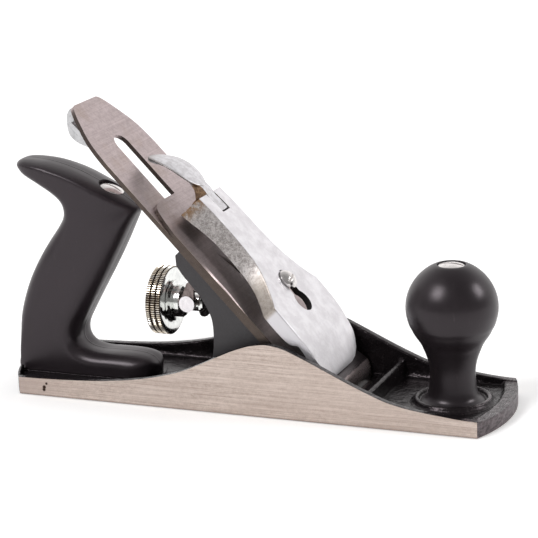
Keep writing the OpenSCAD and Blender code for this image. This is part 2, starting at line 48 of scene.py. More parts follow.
def bed(s, y, n):
    """A point s up the slope, n out of the bed, in mm of the row frame."""
    return (MOUTH_X - s * CA + n * SA, y, s * SA + n * CA)


def cr(a, b, c, d, t):
    return 0.5 * (2 * b + (c - a) * t + (2 * a - 5 * b + 4 * c - d) * t * t
                  + (3 * b - a - 3 * c + d) * t * t * t)


def smooth(p, n, closed=False):
    """Smooth curve through points of any number of values."""
    m = len(p)
    out = []
    for i in range(m if closed else m - 1):
        if closed:
            a, b, c, d = p[(i - 1) % m], p[i], p[(i + 1) % m], p[(i + 2) % m]
        else:
            a, b, c, d = p[max(i - 1, 0)], p[i], p[i + 1], p[min(i + 2, m - 1)]
        for k in range(n):
            out.append(tuple(cr(a[j], b[j], c[j], d[j], k / n) for j in range(len(b))))
    if not closed:
        out.append(tuple(p[-1]))
    return out


def curve(tab):
    """A smooth function through (x, value) pairs that doesn't overshoot."""
    tab = sorted(tab)
    n = len(tab)
    h = [tab[i + 1][0] - tab[i][0] for i in range(n - 1)]
    d = [(tab[i + 1][1] - tab[i][1]) / h[i] for i in range(n - 1)]
    m = [d[0]]
    for i in range(1, n - 1):
        if d[i - 1] * d[i] <= 0:
            m.append(0.0)
        else:
            w1, w2 = 2 * h[i] + h[i - 1], h[i] + 2 * h[i - 1]
            m.append((w1 + w2) / (w1 / d[i - 1] + w2 / d[i]))
    m.append(d[-1])

    def f(x):
        if x <= tab[0][0]:
            return tab[0][1]
        if x >= tab[-1][0]:
            return tab[-1][1]
        for i in range(n - 1):
            if x <= tab[i + 1][0]:
                t = (x - tab[i][0]) / h[i]
                return ((2 * t ** 3 - 3 * t * t + 1) * tab[i][1]
                        + (t ** 3 - 2 * t * t + t) * h[i] * m[i]
                        + (-2 * t ** 3 + 3 * t * t) * tab[i + 1][1]
                        + (t ** 3 - t * t) * h[i] * m[i + 1])
        return tab[-1][1]
    return f


def ramp(x, a, b):
    t = min(1.0, max(0.0, (x - a) / (b - a)))
    return t * t * (3 - 2 * t)


def make(name, verts, faces, mats, idx=None, flat=False):
    """A mesh object from millimetres, its normals turned outwards."""
    me = bpy.data.meshes.new(name)
    me.from_pydata([(v[0] * MM, v[1] * MM, v[2] * MM) for v in verts], [], faces)
    for m in mats:
        me.materials.append(m)
    if idx:
        for p, i in zip(me.polygons, idx):
            p.material_index = i
    bm = bmesh.new()
    bm.from_mesh(me)
    bmesh.ops.recalc_face_normals(bm, faces=bm.faces)
    bm.to_mesh(me)
    bm.free()
    for p in me.polygons:
        p.use_smooth = not flat
    ob = bpy.data.objects.new(name, me)
    bpy.context.scene.collection.objects.link(ob)
    return ob


def bake(ob):
    """Applies the modifiers to the mesh."""
    bpy.context.view_layer.update()
    dg = bpy.context.evaluated_depsgraph_get()
    me = bpy.data.meshes.new_from_object(ob.evaluated_get(dg))
    ob.modifiers.clear()
    old = ob.data
    ob.data = me
    bpy.data.meshes.remove(old)
    me.name = ob.name
    return ob


def cut(ob, cutters, op="DIFFERENCE"):
    for c in cutters:
        m = ob.modifiers.new("cut", "BOOLEAN")
        m.operation = op
        m.solver = "EXACT"
        m.object = c
    bake(ob)
    for c in cutters:
        me = c.data
        bpy.data.objects.remove(c)
        bpy.data.meshes.remove(me)
    return ob


def bevel(ob, width, segments=2, angle=40.0, weighted=True):
    m = ob.modifiers.new("edges", "BEVEL")
    m.width = width * MM
    m.segments = segments
    m.limit_method = "ANGLE"
    m.angle_limit = math.radians(angle)
    m.use_clamp_overlap = True
    m.miter_outer = "MITER_ARC"
    if weighted:
        w = ob.modifiers.new("normals", "WEIGHTED_NORMAL")
        w.weight = 60
        w.keep_sharp = True
    return ob


def join(name, objs):
    """One object from several, keeping their materials."""
    mats = []
    bm = bmesh.new()
    for o in objs:
        remap = []
        for m in o.data.materials:
            if m not in mats:
                mats.append(m)
            remap.append(mats.index(m))
        start = len(bm.faces)
        bm.from_mesh(o.data)
        bm.faces.ensure_lookup_table()
        for f in bm.faces[start:]:
            f.material_index = remap[f.material_index] if remap else 0
    me = bpy.data.meshes.new(name)
    bm.to_mesh(me)
    bm.free()
    for m in mats:
        me.materials.append(m)
    for o in objs:
        old = o.data
        bpy.data.objects.remove(o)
        bpy.data.meshes.remove(old)
    ob = bpy.data.objects.new(name, me)
    bpy.context.scene.collection.objects.link(ob)
    return ob


def prism(name, ring0, ring1, mats):
    """A solid between two outlines of the same number of points."""
    n = len(ring0)
    faces = [tuple(range(n - 1, -1, -1)), tuple(range(n, 2 * n))]
    faces += [(i, (i + 1) % n, n + (i + 1) % n, n + i) for i in range(n)]
    return make(name, list(ring0) + list(ring1), faces, mats)


def prism_n(name, outline, n0, n1, mats):
    """An outline of (s, y) in the bed plane, from n0 to n1."""
    return prism(name, [bed(s, y, n0) for s, y in outline], [bed(s, y, n1) for s, y in outline], mats)


def prism_y(name, outline, y0, y1, mats, inbed=True):
    """An outline of (s, n), or (x, z), from y0 to y1."""
    if inbed:
        return prism(name, [bed(s, y0, n) for s, n in outline], [bed(s, y1, n) for s, n in outline], mats)
    return prism(name, [(x, y0, z) for x, z in outline], [(x, y1, z) for x, z in outline], mats)


def circle(cx, cy, r, n=48):
    return [(cx + r * math.cos(2 * math.pi * i / n), cy + r * math.sin(2 * math.pi * i / n)) for i in range(n)]


def stadium(s0, s1, r, n=20):
    pts = [(s1 + r * math.cos(a), r * math.sin(a)) for a in
           [math.pi * (-0.5 + i / n) for i in range(n + 1)]]
    pts += [(s0 + r * math.cos(a), r * math.sin(a)) for a in
            [math.pi * (0.5 + i / n) for i in range(n + 1)]]
    return pts


def lathe(name, profile, origin, axis, mats, n=96, wave=None, start=0.0):
    """A body of revolution. profile is (distance along the axis, radius); wave(i, angle) scales a radius."""
    axis = Vector(axis).normalized()
    ref = Vector((0, 1, 0)) if abs(axis.y) < 0.9 else Vector((1, 0, 0))
    u = axis.cross(ref).normalized()
    v = axis.cross(u)
    o = Vector(origin)
    verts, rows = [], []
    for i, (h, r) in enumerate(profile):
        if r < 1e-6:
            rows.append([len(verts)])
            verts.append(tuple(o + axis * h))
            continue
        row = []
        for k in range(n):
            a = start + 2 * math.pi * k / n
            rr = r * (wave(i, a) if wave else 1.0)
            row.append(len(verts))
            verts.append(tuple(o + axis * h + (u * math.cos(a) + v * math.sin(a)) * rr))
        rows.append(row)
    faces = []
    for a, b in zip(rows, rows[1:]):
        if len(a) == 1 and len(b) == 1:
            continue
        for k in range(n):
            k2 = (k + 1) % n
            if len(a) == 1:
                faces.append((a[0], b[k], b[k2]))
            elif len(b) == 1:
                faces.append((a[k], b[0], a[k2]))
            else:
                faces.append((a[k], b[k], b[k2], a[k2]))
    if len(rows[0]) > 1 and len(rows[-1]) > 1 and profile[0] == profile[-1]:
        pass
    return make(name, verts, faces, mats)


def sharp(ob, angle=42.0):
    ob.data.set_sharp_from_angle(angle=math.radians(angle))
    return ob


# --------------------------------------------------------------- materials


class Nodes:
    """Short ways to build a node tree."""

    def __init__(self, name):
        self.mat = bpy.data.materials.new(name)
        self.mat.use_nodes = True
        self.t = self.mat.node_tree
        self.b = self.t.nodes["Principled BSDF"]
        self.co = self.t.nodes.new("ShaderNodeTexCoord").outputs["Object"]

    def node(self, kind, **kw):
        n = self.t.nodes.new(kind)
        for k, v in kw.items():
            setattr(n, k, v)
        return n

    def put(self, value, socket):
        if hasattr(value, "is_output") or isinstance(value, bpy.types.NodeSocket):
            self.t.links.new(value, socket)
        else:
            socket.default_value = value

    def scaled(self, scale, rotation=(0, 0, 0), shift=(0, 0, 0)):
        m = self.node("ShaderNodeMapping")
        self.t.links.new(self.co, m.inputs["Vector"])
        m.inputs["Scale"].default_value = [v * 1000 for v in scale]
        m.inputs["Rotation"].default_value = rotation
        m.inputs["Location"].default_value = shift
        return m.outputs["Vector"]

    def turned(self, rotation, scale, shift=(0, 0, 0)):
        """Turned first, then scaled, so a stretched grain can lie along any direction."""
        m = self.node("ShaderNodeMapping")
        self.t.links.new(self.co, m.inputs["Vector"])
        m.inputs["Rotation"].default_value = rotation
        k = self.node("ShaderNodeMapping")
        self.t.links.new(m.outputs["Vector"], k.inputs["Vector"])
        k.inputs["Scale"].default_value = [v * 1000 for v in scale]
        k.inputs["Location"].default_value = shift
        return k.outputs["Vector"]

    def noise(self, vec, scale=1.0, detail=4.0, rough=0.55, distortion=0.0):
        n = self.node("ShaderNodeTexNoise")
        self.t.links.new(vec, n.inputs["Vector"])
        n.inputs["Scale"].default_value = scale
        n.inputs["Detail"].default_value = detail
        n.inputs["Roughness"].default_value = rough
        n.inputs["Distortion"].default_value = distortion
        return n.outputs["Fac"]

    def voronoi(self, vec, scale=1.0, feature="F1"):
        n = self.node("ShaderNodeTexVoronoi", feature=feature)
        self.t.links.new(vec, n.inputs["Vector"])
        n.inputs["Scale"].default_value = scale
        return n.outputs["Distance"]

    def math(self, op, a, b=0.0, c=None, clamp=False):
        n = self.node("ShaderNodeMath", operation=op, use_clamp=clamp)
        self.put(a, n.inputs[0])
        self.put(b, n.inputs[1])
        if c is not None:
            self.put(c, n.inputs[2])
        return n.outputs[0]

    def range(self, v, a, b, c=0.0, d=1.0, soft=True):
        n = self.node("ShaderNodeMapRange", interpolation_type="SMOOTHSTEP" if soft else "LINEAR")
        self.put(v, n.inputs["Value"])
        for k, x in (("From Min", a), ("From Max", b), ("To Min", c), ("To Max", d)):
            n.inputs[k].default_value = x
        return n.outputs["Result"]

    def mix(self, f, a, b):
        n = self.node("ShaderNodeMix", data_type="RGBA")
        self.put(f, n.inputs["Factor"])
        self.put(a if isinstance(a, bpy.types.NodeSocket) else (*a, 1.0), n.inputs["A"])
        self.put(b if isinstance(b, bpy.types.NodeSocket) else (*b, 1.0), n.inputs["B"])
        return n.outputs["Result"]

    def xyz(self, vec=None):
        n = self.node("ShaderNodeSeparateXYZ")
        self.t.links.new(vec if vec is not None else self.co, n.inputs[0])
        return n.outputs

    def bump(self, height, strength, distance, normal=None):
        n = self.node("ShaderNodeBump")
        n.inputs["Strength"].default_value = strength
        n.inputs["Distance"].default_value = distance * MM
        self.t.links.new(height, n.inputs["Height"])
        if normal is not None:
            self.t.links.new(normal, n.inputs["Normal"])
        return n.outputs["Normal"]

    def done(self, color, rough, metal=0.0, normal=None, **fixed):
        self.put(color if isinstance(color, bpy.types.NodeSocket) else (*color, 1.0), self.b.inputs["Base Color"])
        self.put(rough, self.b.inputs["Roughness"])
        self.b.inputs["Metallic"].default_value = metal
        if normal is not None:
            self.t.links.new(normal, self.b.inputs["Normal"])
        for k, v in fixed.items():
            self.b.inputs[k.replace("_", " ")].default_value = v
        return self.mat

    def near(self, point, radius, soft=0.5):
        """1 near a point given in mm, 0 beyond the radius."""
        d = self.node("ShaderNodeVectorMath", operation="DISTANCE")
        self.t.links.new(self.co, d.inputs[0])
        d.inputs[1].default_value = [v * MM for v in point]
        return self.range(d.outputs["Value"], radius * MM * (1 - soft), radius * MM, 1.0, 0.0)

    def facing(self, a, b, c):
        """How much the surface faces the direction (a, b, c), from -1 to 1."""
        geo = self.node("ShaderNodeNewGeometry")
        n = self.node("ShaderNodeVectorMath", operation="DOT_PRODUCT")
        self.t.links.new(geo.outputs["Normal"], n.inputs[0])
        n.inputs[1].default_value = (a, b, c)
        return n.outputs["Value"]

    def slope(self, a, b, c, d):
        """a*x + b*y + c*z + d in mm."""
        n = self.node("ShaderNodeVectorMath", operation="DOT_PRODUCT")
        self.t.links.new(self.co, n.inputs[0])
        n.inputs[1].default_value = (a * 1000, b * 1000, c * 1000)
        return self.math("ADD", n.outputs["Value"], d)


def mat_black_paint(name, pebble=1.0, gloss=0.12):
    """Brushed-on black casting paint over sand-cast iron; the toe's end and rim are rubbed grey."""
    k = Nodes(name)
    v = k.scaled((1, 1, 1))
    big = k.noise(v, 0.09, 3)
    mid = k.noise(v, 0.30, 4, 0.52, 0.8)
    fine = k.noise(v, 1.7, 4, 0.6)
    worn = k.range(k.noise(v, 0.45, 6, 0.7), 0.57, 0.72)
    col = k.mix(big, (0.0045, 0.0036, 0.004), (0.0095, 0.0075, 0.0083))
    col = k.mix(k.math("MULTIPLY", worn, 0.4), col, (0.040, 0.030, 0.030))
    # rubbed grey: end walls and the rim of the toe
    x = k.xyz()
    px = k.math("MULTIPLY", x["X"], 1000.0)
    pz = k.math("MULTIPLY", x["Z"], 1000.0)
    upright = k.range(k.math("ABSOLUTE", k.facing(0, 0, 1)), 0.15, 0.45, 1.0, 0.0)
    toe = k.math("MULTIPLY", k.range(k.facing(1, 0, 0), 0.35, 0.6), k.range(px, 108.0, 110.2))
    wall = k.math("MULTIPLY", toe, upright)
    rim = k.math("MULTIPLY", k.range(pz, 5.9, 6.5), k.range(px, 102.0, 104.5))
    rim = k.math("MULTIPLY", rim, k.range(k.facing(0, 0, 1), 0.5, 0.9))
    streak = k.noise(k.scaled((0.9, 0.22, 0.9), shift=(2, 9, 4)), 1.0, 5, 0.65)
    grey = k.mix(k.range(streak, 0.36, 0.64), (0.050, 0.041, 0.043), (0.135, 0.112, 0.118))
    col = k.mix(k.math("MULTIPLY", wall, 0.95), col, grey)
    col = k.mix(k.math("MULTIPLY", rim, k.range(streak, 0.4, 0.62, 0.15, 0.75)), col, grey)
    rough = k.math("ADD", k.range(mid, 0.3, 0.7, gloss, gloss + 0.13), k.math("MULTIPLY", worn, 0.12))
    rough = k.math("ADD", rough, k.math("MULTIPLY", wall, 0.22))
    h = k.math("ADD", k.math("MULTIPLY", mid, 0.8), k.math("MULTIPLY", fine, 0.07))
    n = k.bump(h, 0.8 * pebble, 0.8)
    return k.done(col, rough, 0.0, n, IOR=1.36, Specular_Tint=(1.0, 0.86, 0.92, 1.0))


def mat_ground(name):
    """Surface-ground cast iron, grinding lines along the plane."""
    k = Nodes(name)
    line = k.noise(k.scaled((0.035, 1.0, 3.2)), 1.0, 8, 0.62)
    line2 = k.noise(k.scaled((0.012, 0.5, 1.1), shift=(3, 7, 1)), 1.0, 4, 0.5)
    grain = k.noise(k.scaled((1, 1, 1)), 2.2, 5, 0.6)
    cloud = k.noise(k.scaled((0.02, 0.03, 0.05)), 1.0, 4)
    weave = k.noise(k.scaled((0.5, 0.5, 0.7), shift=(6, 1, 3)), 1.0, 5, 0.7)
    f = k.math("ADD", k.math("MULTIPLY", line, 0.46), k.math("MULTIPLY", line2, 0.2))
    f = k.math("ADD", f, k.math("MULTIPLY", grain, 0.14))
    f = k.math("ADD", f, k.math("MULTIPLY", weave, 0.2))
    col = k.mix(k.range(f, 0.40, 0.60), (0.395, 0.315, 0.273), (0.655, 0.560, 0.505))
    col = k.mix(k.range(cloud, 0.35, 0.7, 0.0, 0.4), col, (0.50, 0.410, 0.362))
    # darker, browner towards the heel and along the lower edge
    x = k.xyz()
    heel = k.range(k.math("MULTIPLY", x["X"], 1000.0), -112, -78, 0.5, 0.0)
    col = k.mix(heel, col, (0.40, 0.315, 0.285))
    foot = k.range(k.math("MULTIPLY", x["Z"], 1000.0), 0.15, 0.75, 0.6, 0.0)
    col = k.mix(foot, col, (0.20, 0.15, 0.125))
    # small rust pits near the heel and scattered specks
    pit = k.math("MAXIMUM", k.near((-97.0, -31, 4.1), 1.15), k.near((-95.8, -31, 5.9), 0.8))
    pit = k.math("MAXIMUM", pit, k.near((-97.2, -31, 2.9), 1.05))
    speck = k.range(k.noise(k.scaled((1, 1, 1), shift=(11, 2, 5)), 0.55, 2), 0.745, 0.80)
    col = k.mix(k.math("MULTIPLY", speck, 0.45), col, (0.17, 0.11, 0.085))
    col = k.mix(pit, col, (0.045, 0.022, 0.015))
    rough = k.range(f, 0.3, 0.7, 0.50, 0.38)
    rough = k.math("ADD", rough, k.math("MULTIPLY", pit, 0.4))
    n = k.bump(line, 0.28, 0.06)
    n = k.bump(grain, 0.10, 0.05, n)
    return k.done(col, rough, 0.72, n)


def mat_plastic(name, seam=False):
    """Semi-gloss black moulded plastic with hairline scratches and dust-grey sheen."""
    k = Nodes(name)
    v = k.scaled((1, 1, 1))
    big = k.noise(v, 0.045, 4, 0.6)
    scuff = k.range(k.noise(k.scaled((0.5, 0.5, 0.12), shift=(4, 1, 9)), 1.0, 6, 0.75), 0.58, 0.74)
    grain = k.noise(v, 3.2, 4)
    col = k.mix(big, (0.0125, 0.0095, 0.0112) if seam else (0.0075, 0.0058, 0.0068), (0.026, 0.0205, 0.0235) if seam else (0.017, 0.0132, 0.015))
    col = k.mix(k.math("MULTIPLY", scuff, 0.35), col, (0.050, 0.041, 0.044))
    rough = k.range(big, 0.35, 0.7, 0.29, 0.38)
    rough = k.math("ADD", rough, k.math("MULTIPLY", scuff, 0.10))
    h = k.math("MULTIPLY", grain, 0.25)
    n = k.bump(h, 0.10, 0.12)
    if seam:
        x = k.xyz()
        away = k.math("ABSOLUTE", k.math("MULTIPLY", x["Y"], 1000.0))
        line = k.range(away, 0.10, 0.55, 1.0, 0.0)
        wob = k.noise(k.scaled((0.25, 0, 0.25)), 1.0, 3)
        line = k.math("MULTIPLY", line, k.range(wob, 0.3, 0.6, 0.35, 1.0))
        n = k.bump(line, 0.5, 0.28, n)
        col = k.mix(k.math("MULTIPLY", line, 0.5), col, (0.008, 0.007, 0.0075))
        rough = k.math("ADD", rough, k.math("MULTIPLY", line, 0.12))
    return k.done(col, rough, 0.0, n, IOR=1.44, Specular_Tint=(1.0, 0.90, 0.96, 1.0))


def mat_iron(name, tone=1.0, hump=False):
    """Ground tool steel of the iron and cap iron: faint lines, soft stains, brown sides."""
    k = Nodes(name)
    rot = (0, -BED, 0)
    line = k.noise(k.turned(rot, (2.6, 0.05, 1.0)), 1.0, 7, 0.62)
    line2 = k.noise(k.turned(rot, (0.7, 0.02, 0.5), (5, 3, 1)), 1.0, 4, 0.5)
    cloud = k.noise(k.scaled((1, 1, 1)), 0.07, 5, 0.6)
    mott = k.noise(k.scaled((1, 1, 1), shift=(4, 4, 4)), 0.5, 6, 0.7)
    grain = k.noise(k.scaled((1, 1, 1)), 2.6, 4)
    f = k.math("ADD", k.math("MULTIPLY", line, 0.26), k.math("MULTIPLY", line2, 0.18))
    f = k.math("ADD", f, k.math("MULTIPLY", grain, 0.2))
    f = k.math("ADD", f, k.math("MULTIPLY", mott, 0.36))
    a = tuple(c * tone for c in (0.355, 0.295, 0.292))
    b = tuple(c * tone for c in (0.500, 0.415, 0.418))
    col = k.mix(k.range(f, 0.38, 0.62), a, b)
    col = k.mix(k.range(cloud, 0.45, 0.72, 0.0, 0.5), col, tuple(c * tone for c in (0.34, 0.262, 0.225)))
    # painted highlight: a thin light tan line along the long edges; brown oxide on the sides
    x = k.xyz()
    away = k.math("ABSOLUTE", k.math("MULTIPLY", x["Y"], 1000.0))
    patch = k.range(k.noise(k.scaled((1, 1, 1), shift=(1, 8, 2)), 0.16, 4), 0.3, 0.62, 0.25, 1.0)
    edge_highlight = k.math("MULTIPLY", k.range(away, 24.9, 25.25), patch)
    col = k.mix(k.math("MULTIPLY", edge_highlight, 0.7), col, tuple(c * tone for c in (0.60, 0.50, 0.42)))
    side = k.range(k.math("ABSOLUTE", k.facing(0, 1, 0)), 0.6, 0.85)
    col = k.mix(k.math("MULTIPLY", side, 0.92), col, k.mix(mott, (0.030, 0.022, 0.018), (0.072, 0.053, 0.042)))
    spot = k.range(k.noise(k.scaled((1, 1, 1), shift=(3, 3, 9)), 0.42, 3), 0.73, 0.80)
    col = k.mix(k.math("MULTIPLY", spot, 0.6), col, (0.16, 0.10, 0.075))
    rough = k.range(f, 0.3, 0.7, 0.46, 0.34)
    if hump:
        # the bent end: painted shade over its back under the lever cap's lip, rubbed glossy on its front, and a painted
        # dark reflection of the black casting at its foot
        s = k.slope(-CA, 0, SA, MOUTH_X * CA)
        wob = k.math("MULTIPLY", k.math("SUBTRACT", k.noise(k.scaled((1, 1, 1)), 0.25, 4), 0.5), 1.2)
        s2 = k.math("ADD", s, wob)
        # painted shade: a dark band over the back, under the lever cap's lip
        back = k.math("MULTIPLY", k.range(s2, 8.0, 8.8), k.range(s2, 24.0, 34.0, 1.0, 0.0))
        # painted reflection: dark at the foot, where the face looks down at the black casting
        foot = k.range(s2, 1.0, 6.6, 1.0, 0.0)
        col = k.mix(k.math("MULTIPLY", foot, 0.93), col, (0.045, 0.040, 0.038))
        col = k.mix(k.math("MULTIPLY", back, 0.94), col, (0.040, 0.033, 0.036))
        rough = k.math("SUBTRACT", rough, k.math("MULTIPLY", k.range(s2, 9.0, 14.0, 1.0, 0.0), 0.12))
    n = k.bump(line, 0.18, 0.05)
    n = k.bump(mott, 0.10, 0.10, n)
    return k.done(col, rough, 0.82, n)


def mat_lever_cap(name):
    """Plated casting: polished face with cloudy smears and pits, rubbed flanks, brown stain at the upper end."""
    k = Nodes(name)
    v = k.scaled((1, 1, 1))
    rot = (0, -BED, 0)
    smear = k.noise(k.scaled((1, 1, 1), shift=(7, 2, 5)), 0.16, 5, 0.62)
    cloud = k.noise(v, 0.12, 5, 0.62)
    grain = k.noise(v, 2.2, 5, 0.65)
    pit = k.range(k.noise(v, 0.95, 3, 0.6), 0.70, 0.78)
    # place along the slope and the way the surface faces pick out the flanks
    s = k.slope(-CA, 0, SA, MOUTH_X * CA)
    x = k.xyz()
    py = k.math("MULTIPLY", x["Y"], 1000.0)
    out = k.facing(SA, 0, CA)
    flank_f = k.range(out, 0.62, 0.93, 1.0, 0.0)
    base = k.mix(k.range(smear, 0.34, 0.68), (0.67, 0.65, 0.675), (0.80, 0.785, 0.81))
    base = k.mix(k.range(cloud, 0.46, 0.72, 0.0, 0.35), base, (0.56, 0.54, 0.56))
    base = k.mix(k.range(k.noise(v, 0.8, 6, 0.75), 0.5, 0.72, 0.0, 0.4), base, (0.86, 0.85, 0.87))
    base = k.mix(k.math("MULTIPLY", pit, 0.6), base, (0.30, 0.27, 0.275))
    blot = k.noise(v, 0.55, 6, 0.75)
    flank = k.mix(k.range(k.math("ADD", k.math("MULTIPLY", blot, 0.65), k.math("MULTIPLY", grain, 0.35)), 0.40, 0.60),
                  (0.30, 0.272, 0.262), (0.60, 0.565, 0.555))
    flank = k.mix(k.range(s, 62.0, 74.0, 0.75, 0.0), flank, k.mix(blot, (0.20, 0.165, 0.135), (0.46, 0.41, 0.36)))
    low = k.range(s, 49.5, 51.5)
    flank = k.mix(low, (0.64, 0.625, 0.65), flank)
    col = k.mix(flank_f, base, flank)
    # brown stain round the upper end
    stain = k.math("MULTIPLY", k.range(s, 104.5, 110.5), flank_f)
    stain = k.math("MULTIPLY", stain, k.range(k.noise(v, 0.42, 5, 0.7), 0.36, 0.56))
    col = k.mix(k.math("MULTIPLY", stain, 0.85), col, (0.27, 0.145, 0.055))
    # painted shade: near-black inside the keyhole and the slot, and on everything that faces the iron
    inside = k.math("MULTIPLY", k.range(k.math("ABSOLUTE", py), 6.0, 6.6, 1.0, 0.0), k.range(s, 39.0, 40.0))
    inside = k.math("MULTIPLY", inside, k.range(out, 0.3, 0.8, 1.0, 0.0))
    inside = k.math("MULTIPLY", inside, k.range(s, 66.0, 68.0, 1.0, 0.0))
    slit = k.math("MULTIPLY", k.range(k.math("ABSOLUTE", py), 3.7, 3.86, 1.0, 0.0), k.range(s, 98.0, 98.8))
    slit = k.math("MULTIPLY", slit, k.range(out, 0.3, 0.8, 1.0, 0.0))
    painted_hollow_shade = k.math("MAXIMUM", inside, slit)
    painted_hollow_shade = k.math("MAXIMUM", painted_hollow_shade, k.range(out, -0.5, -0.15, 1.0, 0.0))
    col = k.mix(k.math("MULTIPLY", painted_hollow_shade, 0.96), col, (0.012, 0.008, 0.008))
    rough = k.range(grain, 0.3, 0.7, 0.30, 0.42)
    rough = k.math("ADD", rough, k.math("MULTIPLY", pit, 0.2))
    h = k.math("ADD", k.math("MULTIPLY", grain, 0.35), k.math("MULTIPLY", blot, 0.6))
    n = k.bump(h, 0.3, 0.25)
    n = k.bump(pit, -0.4, 0.15, n)
    rough = k.math("ADD", rough, k.math("MULTIPLY", painted_hollow_shade, 0.4))
    return k.done(col, rough, 0.62, n)


def mat_plate(name, color=(0.80, 0.80, 0.79), rough0=0.10, lines=0.1, metal=1.0):
    """Bright nickel or chrome plate with faint turning marks and fingerprints."""
    k = Nodes(name)
    v = k.scaled((1, 1, 1))
    print_ = k.noise(v, 0.35, 5, 0.65)
    grain = k.noise(v, 3.5, 4)
    dark = tuple(c * 0.84 for c in color)
    col = k.mix(k.range(print_, 0.4, 0.7), color, dark)
    speck = k.range(k.noise(v, 1.4, 2), 0.74, 0.80)
    col = k.mix(k.math("MULTIPLY", speck, 0.5), col, (0.30, 0.25, 0.21))
    rough = k.range(print_, 0.35, 0.7, rough0, rough0 + 0.12)
    n = k.bump(grain, lines, 0.05)
    return k.done(col, rough, metal, n)


def mat_thumb(name):
    """The cam lever: rubbed plate on top, painted shade along its sides and underneath, browned at its stem."""
    k = Nodes(name)
    v = k.scaled((1, 1, 1))
    cloud = k.noise(v, 0.35, 5, 0.65)
    grain = k.noise(v, 2.4, 5, 0.65)
    s = k.slope(-CA, 0, SA, MOUTH_X * CA)
    out = k.facing(SA, 0, CA)
    col = k.mix(k.range(cloud, 0.36, 0.66), (0.70, 0.69, 0.715), (0.52, 0.505, 0.52))
    # painted shade: darker grey on the sides
    side = k.mix(k.range(grain, 0.4, 0.6), (0.21, 0.19, 0.185), (0.46, 0.43, 0.425))
    col = k.mix(k.range(out, 0.55, 0.86, 1.0, 0.0), col, side)
    # painted shade: near-black underneath
    under = k.range(out, -0.35, 0.05, 1.0, 0.0)
    col = k.mix(k.math("MULTIPLY", under, 0.9), col, (0.055, 0.048, 0.048))
    stem = k.math("MULTIPLY", k.range(s, 118.0, 119.5, 1.0, 0.0), k.range(out, 0.5, 0.8, 1.0, 0.0))
    stem = k.math("MULTIPLY", stem, k.range(s, 110.5, 112.0, 0.0, 1.0))
    brown = k.mix(k.range(k.noise(v, 0.9, 5, 0.7), 0.4, 0.62), (0.115, 0.060, 0.028), (0.30, 0.185, 0.095))
    col = k.mix(k.math("MULTIPLY", stem, 0.9), col, brown)
    # painted shade: near-black low on the stem's sides, down between the lever cap's ears
    low = k.math("MULTIPLY", k.range(s, 109.5, 111.0, 1.0, 0.0), k.range(out, 0.5, 0.8, 1.0, 0.0))
    col = k.mix(k.math("MULTIPLY", low, 0.9), col, (0.02, 0.016, 0.016))
    rough = k.range(grain, 0.3, 0.7, 0.30, 0.44)
    h = k.math("ADD", k.math("MULTIPLY", grain, 0.4), k.math("MULTIPLY", cloud, 0.5))
    n = k.bump(h, 0.3, 0.2)
    return k.done(col, rough, 0.7, n)


def mat_fork(name):
    """The yoke: rough dark arms, polished discs at the tips."""
    k = Nodes(name)
    v = k.scaled((1, 1, 1))
    cloud = k.noise(v, 0.5, 5, 0.65)
    grain = k.noise(v, 2.2, 5, 0.65)
    x = k.xyz()
    away = k.math("ABSOLUTE", k.math("MULTIPLY", x["Y"], 1000.0))
    tip = k.range(away, 9.85, 10.0)
    col = k.mix(k.range(cloud, 0.35, 0.65), (0.15, 0.12, 0.115), (0.26, 0.215, 0.205))
    col = k.mix(tip, col, k.mix(k.range(cloud, 0.3, 0.7), (0.80, 0.77, 0.79), (0.70, 0.67, 0.69)))
    rough = k.range(tip, 0.0, 1.0, 0.38, 0.20)
    rough = k.math("ADD", rough, k.math("MULTIPLY", grain, 0.08))
    n = k.bump(grain, 0.3, 0.12)
    return k.done(col, rough, 0.9, n)


def mat_wheel(name):
    """Bright plate with painted shade down in its knurl grooves and a warm tint on its crests."""
    k = Nodes(name)
    v = k.scaled((1, 1, 1))
    x = k.xyz()
    py = k.math("MULTIPLY", x["Y"], 1000.0)
    pz = k.math("SUBTRACT", k.math("MULTIPLY", x["Z"], 1000.0), 41.1)
    rad = k.math("SQRT", k.math("ADD", k.math("MULTIPLY", py, py), k.math("MULTIPLY", pz, pz)))
    px = k.math("MULTIPLY", x["X"], 1000.0)
    rim = k.math("MULTIPLY", k.range(rad, 14.2, 14.4), k.range(px, -43.75, -43.66, 1.0, 0.0))
    # painted shade: dark down in the knurl grooves
    painted_groove_shade = k.math("MULTIPLY", k.range(rad, 15.42, 15.68, 1.0, 0.0), rim)
    smear = k.noise(v, 0.35, 5, 0.65)
    grain = k.noise(v, 3.0, 4)
    col = k.mix(k.range(smear, 0.4, 0.7), (0.80, 0.81, 0.79), (0.66, 0.67, 0.66))
    gold = k.math("MULTIPLY", rim, k.range(k.noise(v, 0.25, 3, 0.5), 0.35, 0.6, 0.35, 1.0))
    col = k.mix(gold, col, (0.86, 0.76, 0.62))
    col = k.mix(painted_groove_shade, col, (0.06, 0.035, 0.022))
    rough = k.math("ADD", k.range(smear, 0.35, 0.7, 0.06, 0.14), k.math("MULTIPLY", painted_groove_shade, 0.45))
    rough = k.math("ADD", rough, k.math("MULTIPLY", rim, 0.12))
    n = k.bump(grain, 0.08, 0.05)
    return k.done(col, rough, 1.0, n)


def mat_steel(name, color=(0.46, 0.43, 0.42), rough0=0.34):
    k = Nodes(name)
    v = k.scaled((1, 1, 1))
    cloud = k.noise(v, 0.3, 5, 0.65)
    grain = k.noise(v, 2.5, 5, 0.6)
    col = k.mix(k.range(cloud, 0.35, 0.7), color, tuple(c * 0.7 for c in color))
    spot = k.range(k.noise(v, 0.8, 3), 0.68, 0.78)
    col = k.mix(k.math("MULTIPLY", spot, 0.5), col, (0.18, 0.11, 0.075))
    rough = k.range(grain, 0.3, 0.7, rough0, rough0 + 0.14)
    n = k.bump(grain, 0.18, 0.08)
    return k.done(col, rough, 0.9, n)


